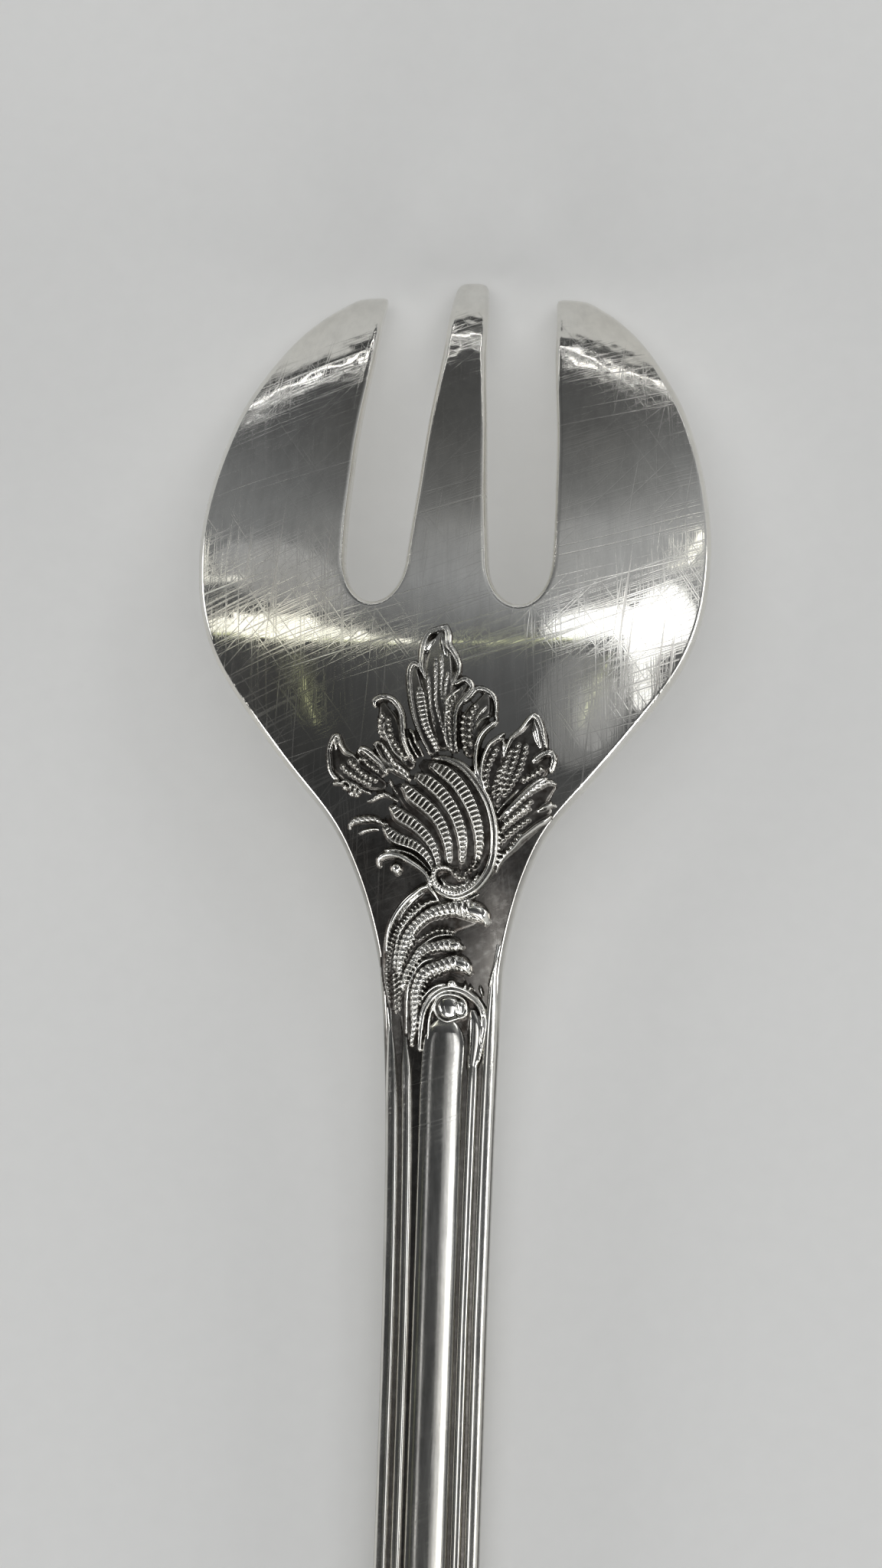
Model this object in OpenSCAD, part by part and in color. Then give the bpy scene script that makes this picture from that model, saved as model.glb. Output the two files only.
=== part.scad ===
// Oyster fork with three broad tines, lying on its tine tips with its back up.
// +Y runs along the length towards the tips, +X across, +Z up from the table.

/* [Overall] */
// Length from the middle tip to the end of the handle
overall_length = 150; // [135:1:170]
// Length from the middle tip to the start of the even stem
head_length = 40; // [36:0.5:44]
// Height of the back above the table at its highest point
hump_height = 11; // [9:0.5:13]

/* [Head] */
// Width across the outer tines at the widest point
head_width = 25.7; // [22:0.1:30]
// Radius of the rounded back, measured across the head
camber_radius = 29; // [24:1:40]
// Thickness of the metal in the bowl
bowl_thickness = 1.7; // [1.2:0.1:2.2]
// Thickness of the metal at the tine tips
tip_thickness = 0.95; // [0.8:0.05:1.2]

/* [Tines] */
// Distance from the middle tip to where the slots begin to close
tine_length = 15.9; // [13:0.1:17]
// Further depth of the rounded slot bottoms
slot_root = 2.45; // [1.5:0.05:2.8]
// Width of the slots between the tines
slot_width = 3.5; // [2.6:0.1:4]
// Width of the middle tine where the slots begin to close
middle_tine_width = 4; // [3:0.1:5]
// Distance by which the outer tips fall short of the middle one
tip_setback = 0.9; // [0.4:0.1:1.6]

/* [Handle] */
// Width of the stem at its narrowest
stem_width = 5.3; // [4.8:0.1:7]
// Thickness of the stem with its raised threads
stem_thickness = 2.7; // [2.2:0.1:3.4]
// Greatest width of the handle end
end_width = 15.6; // [13:0.2:20]
// Thickness of the handle end
end_thickness = 2.1; // [1.6:0.1:2.6]
// Length of the widened handle end
end_length = 36; // [30:1:46]
// Length of the rounded part of the handle end, past its widest point
end_cap = 10.5; // [9:0.5:15]
// Height of the handle's back above the table at its very end
end_rise = 5; // [4:0.25:7]

/* [Threads] */
// Width of the outer thread along each edge
outer_thread = 0.66; // [0.5:0.02:0.8]
// Width of the inner thread on each side
inner_thread = 0.56; // [0.4:0.02:0.7]
// Width of the grooves between threads and panel
groove = 0.14; // [0.1:0.02:0.2]
// Narrow land left outside the outer thread
edge_land = 0.06; // [0.02:0.01:0.1]
// Height of threads and panel above the sunk ground
thread_height = 0.32; // [0.2:0.02:0.45]

/* [Ornament] */
// Distance from the foot of the ornament to the start of the even stem
stem_gap = 0.5; // [0:0.1:1.5]
// Length of the ornament from the crest leaf to the stem
ornament_length = 20; // [18:0.1:21]
// Half width of the ornament across the back
ornament_half = 6; // [5:0.1:6.4]
// Height of the leaves
leaf_height = 0.5; // [0.3:0.05:0.8]
// Height of the ribs of the shell
rib_height = 0.55; // [0.3:0.05:0.8]
// Height of strands and scrolls
strand_height = 0.45; // [0.3:0.05:0.7]
// Radius of the pearl in the volute
pearl_radius = 0.27; // [0.2:0.01:0.32]
// Length of the shell on the handle end
end_shell_length = 9; // [7:0.5:10]
// Number of ribs of the shell on the handle end
end_shell_ribs = 7; // [5:1:9]

/* [Hidden] */

// Play between the raised work and the metal that carries it
seat = 0.03;
// Rounding along the edges of the head, the stem and the underside
head_edge = 0.35;
stem_edge = 0.3;
half_stem = stem_width / 2;
ornament_start = head_length - stem_gap - ornament_length;
end_start = overall_length - end_length;
cap_start = overall_length - end_cap;
tip_y = overall_length / 2;
// Height of the back where the handle touches the table
rest_height = stem_thickness;
// Place of that touching point along the handle
rest_share = 0.59;
bowl_end_share = 0.75;
// Where the ground begins to sink for the threads, and the length of its slope
ground_share = 0.86;
ground_slope_share = 0.13;
// Where the roundings of the head begin to turn into those of the stem, and how long that takes
turn_share = 0.5;
turn_length_share = 0.4;
// Where the stem has its full thickness
full_share = 1.1;
// Rise of the underside at the edges of head, stem and handle end, against the thickness
head_belly_share = 0.22;
stem_belly_share = 0.4;
end_belly_share = 0.15;
// Corners of a section, down its edges
upper_share = 0.28;
lower_share = 0.72;

// Outline of the head: share of head_length, share of half the head width
outline_shares = [
    [0.0225, 0.42], [0.0275, 0.5], [0.042, 0.567], [0.08, 0.687], [0.135, 0.8], [0.19, 0.887],
    [0.24, 0.936], [0.29, 0.973], [0.35, 0.998], [0.41, 0.998], [0.47, 0.971], [0.53, 0.9],
    [0.595, 0.761], [0.665, 0.59], [0.73, 0.42], [0.79, 0.33], [0.85, 0.272], [0.9, 0.24]
];
// Width of the neck as it runs into the stem, in shares of head_length and half_stem
neck_shares = [[0.9, 1.165], [1, 1.085], [1.12, 1.035], [1.35, 1]];
// Outline of the handle end: share of its length before the cap, share of its growth
end_outline_shares = [[0, 0], [0.2, 0.09], [0.4, 0.32], [0.6, 0.66], [0.8, 0.91], [1, 1]];
// Height of the back along the head: share of head_length, share of hump_height
crown_shares = [
    [0, 0.0864], [0.06, 0.245], [0.135, 0.455], [0.21, 0.627], [0.285, 0.764], [0.36, 0.873],
    [0.46, 0.964], [0.55, 1], [0.65, 0.955], [0.75, 0.818], [0.85, 0.636], [0.95, 0.49],
    [1.05, 0.4], [1.2, 0.336], [1.4, 0.3]
];
// Roundness across the back against the camber of the head
camber_shares = [
    [0, 1.72], [0.12, 1.1], [0.45, 1.04], [0.62, 1.32], [0.75, 1.6], [0.86, 1.2], [1, 0.3],
    [1.4, 0.15]
];
// Thickness gained along the head, in shares of the gain from the tips to the bowl
thick_shares = [[0, 0], [0.1, 0.27], [0.3, 0.73], [0.5, 1], [0.65, 1.25], [0.75, 1.8]];
// Half width of the middle tine: share of tine_length, share of half its root width
middle_shares = [
    [0, 0.3], [0.008, 0.38], [0.03, 0.42], [0.15, 0.51], [0.28, 0.55], [0.4, 0.625],
    [0.53, 0.72], [0.65, 0.785], [0.78, 0.85], [0.9, 0.93], [1, 1]
];
// Width of the slots along the tines in shares of slot_width
slot_shares = [[0, 1], [0.6, 1], [0.85, 0.96], [1, 0.9]];

// Curves through tables of share pairs
function span(t, x, i = 0) = (i >= len(t) - 2 || x <= t[i + 1][0]) ? i : span(t, x, i + 1);
function rise(t, a, b) = (t[b][1] - t[a][1]) / (t[b][0] - t[a][0]);
function steep(t, i) = rise(t, max(i - 1, 0), min(i + 1, len(t) - 1));
function bend(a, b, p, q, u) =
    a * (2 * u ^ 3 - 3 * u ^ 2 + 1) + p * (u ^ 3 - 2 * u ^ 2 + u)
    + b * (3 * u ^ 2 - 2 * u ^ 3) + q * (u ^ 3 - u ^ 2);
function curve(t, x) =
    let (i = span(t, x), w = t[i + 1][0] - t[i][0], u = min(max((x - t[i][0]) / w, 0), 1))
    bend(t[i][1], t[i + 1][1], steep(t, i) * w, steep(t, i + 1) * w, u);
function mix(a, b, u) = a + (b - a) * u;
function ease(u) = let (v = min(max(u, 0), 1)) v * v * (3 - 2 * v);

// Form of the whole fork at the distance d from the middle tip
function half_width(d) =
    let (h = d / head_length, e = (d - end_start) / (end_length - end_cap),
         c = min((d - cap_start) / end_cap, 1))
    h < neck_shares[0][0] ? curve(outline_shares, h) * head_width / 2
    : d < end_start ? curve(neck_shares, h) * half_stem
    : d < cap_start ? mix(half_stem, end_width / 2, curve(end_outline_shares, e))
    : end_width / 2 * sqrt(max(1 - c * c, 0));
function crown(d) =
    let (h = d / head_length, a = crown_shares[len(crown_shares) - 1],
         start = a[0] * head_length, rest = rest_share * (overall_length - head_length),
         u = (d - start) / (head_length + rest - start),
         v = (d - head_length - rest) / (overall_length - head_length - rest))
    h < a[0] ? curve(crown_shares, h) * hump_height
    : u < 1 ? mix(rest_height, a[1] * hump_height, (1 - u) ^ 2)
    : mix(rest_height, end_rise, v * v);
function gain(u) = mix(tip_thickness, bowl_thickness, u);
function thickness(d) =
    let (h = d / head_length, a = thick_shares[len(thick_shares) - 1],
         n = ease((h - a[0]) / (full_share - a[0])),
         e = ease((d - end_start) / (end_length - end_cap)))
    h < a[0] ? gain(curve(thick_shares, h))
    : mix(mix(gain(a[1]), stem_thickness, n), end_thickness, e);
// How far the ground is sunk for the threads, from the neck on
function sunk(d) =
    thread_height * ease((d / head_length - ground_share) / ground_slope_share);
// How strongly the underside is rounded up towards the edges
function turn(d) = ease((d / head_length - turn_share) / turn_length_share);
function belly(d) =
    mix(mix(head_belly_share, stem_belly_share, turn(d)), end_belly_share,
        ease((d - end_start) / (end_length - end_cap)));
function edge(d) = mix(head_edge, stem_edge, turn(d));
function top(x, d) =
    crown(d) - sunk(d) - x * x * curve(camber_shares, d / head_length) / (2 * camber_radius);
// A point of the forging: s is 0 on the back and 1 on the underside
function skin(x, d, s) =
    let (w = max(half_width(d), head_edge), q = min(abs(x) / w, 1),
         t = (thickness(d) - sunk(d)) * (1 - belly(d) * q * q))
    [x, tip_y - d, top(x, d) - s * t];

// Faces of a tube of m rings of n points, and of its two ends
function tube_faces(n, m) = [
    for (i = [0:m - 2]) for (k = [0:n - 1])
        let (a = i * n + k, b = i * n + (k + 1) % n)
        each [[a, b + n, b], [a, a + n, b + n]]
];
function strip_faces(n, o, turn) = [
    for (k = [0:n / 2 - 2])
        let (a = o + k, b = o + k + 1, c = o + n - 2 - k, d = o + n - 1 - k)
        each turn ? [[a, c, b], [a, d, c]] : [[a, b, c], [a, c, d]]
];
function fan_faces(n, o, turn) = [
    for (k = [0:n - 3])
        let (a = o + k, b = o + k + 1, c = o + n - 1)
        turn ? [c, b, a] : [c, a, b]
];
module loft(rings) {
    n = len(rings[0]);
    m = len(rings);
    polyhedron([for (r = rings) each r],
               concat(tube_faces(n, m), strip_faces(n, 0, false),
                      strip_faces(n, (m - 1) * n, true)));
}
module ridge(rings) {
    n = len(rings[0]);
    m = len(rings);
    polyhedron([for (r = rings) each r],
               concat(tube_faces(n, m), fan_faces(n, 0, false),
                      fan_faces(n, (m - 1) * n, true)));
}

// Closed section between the edges l and r, at the shares us of the way across
function section(l, r, d, us) =
    let (e = min(edge(d), (r - l) / 4), a = l + e, b = r - e, n = len(us))
    concat([skin(l, d, upper_share)], [for (u = us) skin(mix(a, b, u), d, 0)], [skin(r, d, upper_share)],
           [skin(r, d, lower_share)], [for (i = [n - 1:-1:0]) skin(mix(a, b, us[i]), d, 1)],
           [skin(l, d, lower_share)]);
function even(n) = [for (i = [0:n]) i / n];

// Tines
function middle_half(d) = curve(middle_shares, d / tine_length) * middle_tine_width / 2;
function slot_wall(d) = middle_half(d) + slot_width * curve(slot_shares, d / tine_length);
tine_steps = even(16);
module middle_tine() {
    color("silver")
    loft([for (u = tine_steps) let (d = tine_length * u ^ 1.6)
        section(-middle_half(d), middle_half(d), d, even(4))]);
}
module outer_tine(side) {
    color("silver")
    mirror([side < 0 ? 1 : 0, 0, 0])
    loft([for (u = tine_steps) let (d = mix(tip_setback, tine_length, u ^ 1.8))
        section(slot_wall(d), half_width(d), d, even(4))]);
}
module left_tine() outer_tine(-1);
module right_tine() outer_tine(1);

// Bowl, whose front follows the two rounded slot bottoms
bowl_end = bowl_end_share * head_length;
bowl_steps = even(11);
slot_inner = middle_half(tine_length);
slot_outer = slot_wall(tine_length);
outer_edge = half_width(tine_length);
function right_front() = concat(
    [[0, tine_length]],
    [for (f = [0:22.5:180])
        [mix(slot_inner, slot_outer, (1 - cos(f)) / 2), tine_length + slot_root * sin(f)]],
    [for (u = [0.33, 0.66]) [mix(slot_outer, outer_edge - head_edge, u), tine_length]],
    [[outer_edge - head_edge, tine_length]]
);
function front() = let (f = right_front(), n = len(f))
    concat([for (i = [n - 1:-1:1]) [-f[i][0], f[i][1]]], f);
function bowl_point(p, v, s) =
    let (d = mix(p[1], bowl_end, v), w = half_width(d) - edge(d),
         w0 = half_width(p[1]) - edge(p[1]))
    skin(p[0] / w0 * w, d, s);
module bowl() {
    f = front();
    n = len(f);
    color("silver")
    loft([for (v = bowl_steps)
        let (d = mix(tine_length, bowl_end, v), w = half_width(d))
        concat([skin(-w, d, upper_share)], [for (p = f) bowl_point(p, v, 0)], [skin(w, d, upper_share)],
               [skin(w, d, lower_share)], [for (i = [n - 1:-1:0]) bowl_point(f[i], v, 1)],
               [skin(-w, d, lower_share)])]);
}

// Neck, stem and handle end
neck_end = head_length;
module run(from, to, steps, us) {
    color("silver")
    loft([for (u = even(steps)) let (d = mix(from, to, u), w = half_width(d))
        section(-w, w, d, us)]);
}
module neck() run(bowl_end, neck_end, 10, even(8));
module stem() run(neck_end, end_start, 30, even(6));
module handle_end() {
    stretch = [for (u = even(14)) mix(end_start, cap_start, u)];
    cap = [for (f = [12:12:84]) cap_start + end_cap * sin(f)];
    color("silver")
    loft([for (d = concat(stretch, cap, [overall_length]))
        let (w = max(half_width(d), head_edge)) section(-w, w, d, even(8))]);
}

// Spines of raised work: smooth through points [x, d]
function knot(p, i) = p[min(max(i, 0), len(p) - 1)];
function spline(p, t) =
    let (n = len(p) - 1, i = min(floor(t * n), n - 1), u = t * n - i,
         a = knot(p, i), b = knot(p, i + 1))
    bend(a, b, (b - knot(p, i - 1)) / 2, (knot(p, i + 2) - a) / 2, u);
function spine(p, steps) = [for (u = even(steps)) spline(p, u)];
function unit(v) = v / norm(v);
function side_of(s, i) = let (t = unit(knot(s, i + 1) - knot(s, i - 1))) [-t[1], t[0]];
// Raised sections: places across and heights, in shares of half width and height
round_shares = [[-1, 0], [-0.66, 0.7], [0, 1], [0.66, 0.7], [1, 0]];
leaf_shares = [[-1, 0], [-0.82, 0.9], [-0.42, 0.5], [0, 0.75], [0.42, 0.5], [0.82, 0.9], [1, 0]];
function raised_ring(p, n, w, h, shares) = concat(
    [for (q = shares) let (a = p + n * w * q[0], z = top(a[0], a[1]) + seat + h * q[1])
        [a[0], tip_y - a[1], z]],
    [[p[0], tip_y - p[1], top(p[0], p[1]) + seat]]
);
// A raised strand along the points p; its width and height follow the shares in form
module strand(p, w, h, form, shares = round_shares, steps = 12) {
    s = spine(p, steps);
    ridge([for (i = [0:steps]) let (f = curve(form, i / steps))
        raised_ring(s[i], side_of(s, i), w * f, h * mix(1, f, 0.6), shares)]);
}
// Swelling along a strand from its tip to its foot
petal_shares = [[0, 0.16], [0.12, 0.62], [0.35, 1], [0.7, 0.72], [1, 0.28]];
even_shares = [[0, 0.3], [0.1, 1], [0.85, 1], [1, 0.3]];
taper_shares = [[0, 0.3], [0.1, 1], [0.6, 0.8], [1, 0.3]];
swell_shares = [[0, 0.25], [0.3, 1], [0.7, 0.9], [1, 0.3]];
function place(q) = [q[0] * ornament_half, ornament_start + q[1] * ornament_length];
function places(t) = [for (q = t) place(q)];
module lobe(t, w, h, form, shares = round_shares, steps = 12) {
    strand(places(t), w * ornament_half, h, form, shares, steps);
}
// A round bead; its rings follow the back
module dome(c, r) {
    rings = [0, 30, 60];
    turns = 12;
    rim = [for (f = rings) each [for (k = [0:turns - 1])
        let (g = k * 360 / turns, x = c[0] + r * cos(f) * cos(g), d = c[1] + r * cos(f) * sin(g))
        [x, tip_y - d, top(x, d) + seat + r * sin(f)]]];
    n = len(rings) * turns;
    height = top(c[0], c[1]) + seat;
    polyhedron(concat(rim, [[c[0], tip_y - c[1], height + r], [c[0], tip_y - c[1], height]]),
        concat(
            [for (i = [0:len(rings) - 2]) for (k = [0:turns - 1])
                let (a = i * turns + k, b = i * turns + (k + 1) % turns)
                each [[a, b, b + turns], [a, b + turns, a + turns]]],
            [for (k = [0:turns - 1]) [n - turns + k, n - turns + (k + 1) % turns, n]],
            [for (k = [0:turns - 1]) [(k + 1) % turns, k, n + 1]]));
}

// Leaves of the ornament
module crest_leaf() {
    color("gainsboro")
    lobe([[0.013, 0.007], [-0.003, 0.06], [0, 0.12], [0.013, 0.205], [0.037, 0.295]],
         0.15, leaf_height, petal_shares, leaf_shares, 16);
}
module crest_side_leaves() {
    color("gainsboro") {
        lobe([[-0.2, 0.102], [-0.212, 0.145], [-0.187, 0.205], [-0.125, 0.265], [-0.05, 0.31]],
             0.042, leaf_height, petal_shares, leaf_shares);
        lobe([[0.217, 0.14], [0.203, 0.175], [0.167, 0.22], [0.103, 0.29]],
             0.04, leaf_height, petal_shares, leaf_shares);
        lobe([[0.383, 0.172], [0.35, 0.215], [0.275, 0.265], [0.187, 0.32]],
             0.066, leaf_height, petal_shares, leaf_shares);
        lobe([[0.467, 0.225], [0.403, 0.252], [0.35, 0.29], [0.33, 0.335]],
             0.022, strand_height, taper_shares);
    }
}
module hook_leaves() {
    color("gainsboro") {
        lobe([[-0.52, 0.197], [-0.497, 0.18], [-0.417, 0.177], [-0.337, 0.2], [-0.295, 0.235],
              [-0.27, 0.275], [-0.233, 0.31]], 0.022, strand_height, even_shares,
             round_shares, 18);
        lobe([[-0.458, 0.22], [-0.433, 0.25], [-0.375, 0.285], [-0.292, 0.322]],
             0.027, strand_height, swell_shares);
        lobe([[-0.517, 0.287], [-0.458, 0.287], [-0.383, 0.317], [-0.292, 0.342]],
             0.022, strand_height, taper_shares);
    }
}
module left_leaves() {
    color("gainsboro") {
        lobe([[-0.825, 0.275], [-0.842, 0.312], [-0.767, 0.332], [-0.65, 0.352],
              [-0.508, 0.375]], 0.028, strand_height, swell_shares);
        lobe([[-0.675, 0.31], [-0.6, 0.317], [-0.517, 0.34], [-0.417, 0.357]],
             0.028, leaf_height, swell_shares);
        lobe([[-0.79, 0.357], [-0.683, 0.377], [-0.533, 0.4]],
             0.018, strand_height, swell_shares);
        lobe([[-0.867, 0.395], [-0.767, 0.39], [-0.65, 0.405], [-0.55, 0.42]],
             0.02, strand_height, swell_shares);
        lobe([[-0.567, 0.442], [-0.45, 0.424], [-0.358, 0.427]],
             0.02, strand_height, swell_shares);
        lobe([[-0.723, 0.5], [-0.683, 0.477], [-0.567, 0.472], [-0.475, 0.477]],
             0.023, strand_height, swell_shares);
    }
}
module right_leaf() {
    color("gainsboro") {
        lobe([[0.533, 0.272], [0.458, 0.305], [0.442, 0.35], [0.492, 0.41]],
             0.045, leaf_height, petal_shares, leaf_shares);
        lobe([[0.742, 0.222], [0.725, 0.275], [0.642, 0.34], [0.542, 0.42]],
             0.09, leaf_height, petal_shares, leaf_shares, 16);
        lobe([[0.892, 0.302], [0.85, 0.335], [0.733, 0.38], [0.583, 0.435]],
             0.06, leaf_height, petal_shares, leaf_shares);
    }
}
module right_lower_leaves() {
    color("gainsboro") {
        lobe([[0.917, 0.375], [0.817, 0.4], [0.683, 0.435], [0.55, 0.48]],
             0.033, leaf_height, swell_shares);
        lobe([[0.93, 0.427], [0.85, 0.442], [0.7, 0.485], [0.55, 0.54]],
             0.05, leaf_height, petal_shares, leaf_shares);
        lobe([[0.833, 0.48], [0.7, 0.525], [0.567, 0.575], [0.492, 0.605]],
             0.017, strand_height, even_shares);
    }
}

// Shell with its ribs, the scroll round it, volute, pearl and plume
module shell_fan() {
    color("gainsboro") {
        lobe([[-0.05, 0.347], [0.167, 0.405], [0.287, 0.452], [0.317, 0.515], [0.267, 0.575]],
             0.04, rib_height, swell_shares, leaf_shares, 16);
        lobe([[-0.2, 0.355], [0.03, 0.402], [0.165, 0.469], [0.19, 0.54]],
             0.04, rib_height, swell_shares, leaf_shares, 14);
        lobe([[-0.308, 0.4], [-0.092, 0.452], [0.05, 0.5], [0.1, 0.55]],
             0.043, rib_height, swell_shares, leaf_shares);
        lobe([[-0.383, 0.45], [-0.217, 0.485], [-0.083, 0.522], [0.008, 0.562]],
             0.04, rib_height, swell_shares, leaf_shares);
        lobe([[-0.442, 0.5], [-0.325, 0.525], [-0.183, 0.55], [-0.075, 0.575]],
             0.033, rib_height, swell_shares, leaf_shares);
    }
}
module fan_scroll() {
    color("gainsboro")
    lobe([[-0.058, 0.325], [0.135, 0.335], [0.292, 0.37], [0.403, 0.417], [0.465, 0.471],
          [0.47, 0.531], [0.425, 0.579], [0.32, 0.622], [0.162, 0.645], [0.033, 0.637],
          [-0.033, 0.612], [0, 0.592], [0.092, 0.595]],
         0.027, rib_height, even_shares, round_shares, 36);
}
module volute() {
    color("gainsboro")
    lobe([[-0.483, 0.585], [-0.467, 0.565], [-0.4, 0.555], [-0.32, 0.558], [-0.187, 0.572],
          [-0.108, 0.597]], 0.022, strand_height, even_shares, round_shares, 16);
}
module pearl() {
    color("gainsboro")
    dome(place([-0.342, 0.595]), pearl_radius);
}
module plume() {
    color("gainsboro") {
        lobe([[0.367, 0.695], [0.243, 0.674], [0.06, 0.682], [-0.177, 0.722], [-0.325, 0.783],
              [-0.383, 0.85], [-0.4, 0.935]], 0.045, leaf_height, swell_shares,
             leaf_shares, 20);
        lobe([[0.175, 0.74], [0.033, 0.732], [-0.1, 0.747]],
             0.015, strand_height, swell_shares, round_shares, 8);
        lobe([[0.175, 0.775], [0.057, 0.765], [-0.095, 0.775], [-0.217, 0.807],
              [-0.292, 0.86], [-0.325, 0.92]], 0.038, leaf_height, swell_shares,
             leaf_shares, 16);
        lobe([[0.233, 0.83], [0.12, 0.812], [-0.058, 0.827], [-0.175, 0.867],
              [-0.23, 0.924], [-0.26, 0.995]], 0.033, leaf_height, swell_shares,
             leaf_shares, 16);
    }
}
module plume_edge() {
    color("gainsboro")
    lobe([[-0.092, 0.632], [-0.223, 0.652], [-0.35, 0.69], [-0.433, 0.737], [-0.47, 0.792],
          [-0.457, 0.855]], 0.022, strand_height, even_shares, round_shares, 16);
}
// Arch over the top of the panel, and the beads under it
bead_share = [0.088, 0.922];
side_bead_share = [0.25, 0.922];
bead_ring = 0.58;
bead_ring_half = 0.08;
bead_size_share = 0.55;
side_bead_size_share = 0.3;
ring_height_share = 0.6;
module panel_arch() {
    color("gainsboro")
    lobe([[0.305, 1.025], [0.343, 0.97], [0.325, 0.915], [0.25, 0.877], [0.12, 0.862],
          [0, 0.88], [-0.1, 0.917], [-0.158, 0.97], [-0.175, 1.025]],
         0.025, strand_height, even_shares, round_shares, 26);
}
module arch_bead() {
    c = place(bead_share);
    color("gainsboro") {
        dome(c, bead_size_share * bead_ring);
        dome(place(side_bead_share), side_bead_size_share * bead_ring);
        strand([for (f = [-60:24:276]) c + bead_ring * [cos(f), sin(f)]], bead_ring_half,
               ring_height_share * strand_height, even_shares, round_shares, 28);
    }
}

// Threads along both edges, and the crowned panel between them
outer_inset = edge_land + outer_thread / 2;
inner_inset = edge_land + outer_thread + groove + inner_thread / 2;
panel_inset = inner_inset + inner_thread / 2 + groove;
left_start_share = 0.955;
right_start_share = 0.8;
inner_start_share = 1.045;
left_start = ornament_start + left_start_share * ornament_length;
right_start = ornament_start + right_start_share * ornament_length;
inner_start = ornament_start + inner_start_share * ornament_length;
function edge_run(from) = concat(
    [for (u = even(30)) let (d = mix(from, end_start, u)) [half_width(d), d]],
    [for (u = [0.1:0.1:0.91]) let (d = mix(end_start, cap_start, u)) [half_width(d), d]],
    [for (f = [0:7.5:90]) [end_width / 2 * cos(f), cap_start + end_cap * sin(f)]]
);
function inward(s, i) =
    i == len(s) - 1 ? [0, -1] : let (n = side_of(s, i)) n[0] > 0 ? -n : n;
function inset_run(s, inset) = [for (i = [0:len(s) - 1]) s[i] + inset * inward(s, i)];
thread_form_shares = [[0, 0.3], [0.012, 0.8], [0.04, 1], [1, 1]];
module thread(from, inset, width) {
    s = edge_run(from);
    p = inset_run(s, inset);
    n = len(s) - 1;
    ridge([for (i = [0:n]) let (f = curve(thread_form_shares, i / n))
        raised_ring(p[i], -inward(s, i), width / 2 * f, thread_height * f, round_shares)]);
}
module left_outer_thread() {
    color("gainsboro")
    mirror([1, 0, 0])
    thread(left_start, outer_inset, outer_thread);
}
module right_outer_thread() {
    color("gainsboro")
    thread(right_start, outer_inset, outer_thread);
}
module left_inner_thread() {
    color("gainsboro")
    mirror([1, 0, 0])
    thread(inner_start, inner_inset, inner_thread);
}
module right_inner_thread() {
    color("gainsboro")
    thread(inner_start, inner_inset, inner_thread);
}
panel_shares = [[-1, 0], [-0.93, 0.7], [-0.5, 0.93], [0, 1], [0.5, 0.93], [0.93, 0.7], [1, 0]];
panel_start_share = 0.965;
panel_end_share = 0.2;
panel_start = ornament_start + panel_start_share * ornament_length;
panel_end = end_start + panel_end_share * end_length;
// Rounded head and pointed foot of the panel, in shares of its length
panel_head_share = 0.036;
panel_foot_share = 0.083;
// Sideways lean of the panel under its arch, in shares of ornament_half
lean_shares = [[0, 0.07], [0.02, 0.045], [0.06, 0], [1, 0]];
function panel_half(d, u) =
    (half_stem - panel_inset) * sqrt(1 - (1 - ease(u / panel_head_share)) ^ 2)
    * min(1, sqrt(max((1 - u) / panel_foot_share, 0.01)));
module panel() {
    places_along = concat([0.002, 0.008, 0.015, 0.025], [for (i = [1:23]) i * 0.04],
                          [0.95, 0.97, 0.985, 1]);
    color("gainsboro")
    ridge([for (u = places_along)
        let (d = mix(panel_start, panel_end, u), x = curve(lean_shares, u) * ornament_half)
        raised_ring([x, d], [1, 0], panel_half(d, u), thread_height, panel_shares)]);
}

// Small shell and scrolls on the handle end
shell_foot_share = 0.44;
shell_foot = end_start + shell_foot_share * end_length;
shell_open = 62;
shell_squash_share = 0.62;
shell_rib_share = 0.062;
end_shell_half = shell_rib_share * end_shell_length;
module end_shell() {
    color("gainsboro")
    for (i = [0:end_shell_ribs - 1]) {
        a = mix(-shell_open, shell_open, i / (end_shell_ribs - 1));
        reach = end_shell_length * [sin(a) * shell_squash_share, cos(a)];
        foot = [0, shell_foot];
        strand([foot + reach, foot + 0.75 * reach, foot + 0.5 * reach, foot + 0.26 * reach],
               end_shell_half * mix(1, 0.7, abs(a) / shell_open) * 5 / (end_shell_ribs - 2),
               rib_height, petal_shares, round_shares, 9);
    }
}
end_scroll_shares = [[0.06, -0.1], [0.22, -0.16], [0.38, -0.06], [0.46, 0.08], [0.4, 0.2],
                     [0.3, 0.17], [0.31, 0.09]];
module end_scrolls() {
    color("gainsboro")
    for (side = [0, 1]) {
        mirror([side, 0, 0])
        strand([for (q = end_scroll_shares) [0, shell_foot] + end_shell_length * q],
               end_shell_half * 0.45, strand_height, even_shares, round_shares, 18);
    }
}

left_tine();
middle_tine();
right_tine();
bowl();
neck();
stem();
handle_end();
crest_leaf();
crest_side_leaves();
hook_leaves();
left_leaves();
right_leaf();
right_lower_leaves();
shell_fan();
fan_scroll();
volute();
pearl();
plume();
plume_edge();
panel_arch();
arch_bead();
panel();
left_outer_thread();
right_outer_thread();
left_inner_thread();
right_inner_thread();
end_shell();
end_scrolls();
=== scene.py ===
"""Oyster fork in polished silver plate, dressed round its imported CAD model.

The shaping functions count in millimetres: x across the fork and d along it, from the tip of
the middle tine to the end of the handle. Meshes are written in metres, in the frame's axes.
"""
import math

import bpy
import numpy as np
from bpy.props import FloatProperty, FloatVectorProperty, PointerProperty
from mathutils import Matrix, Vector, geometry, kdtree


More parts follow.
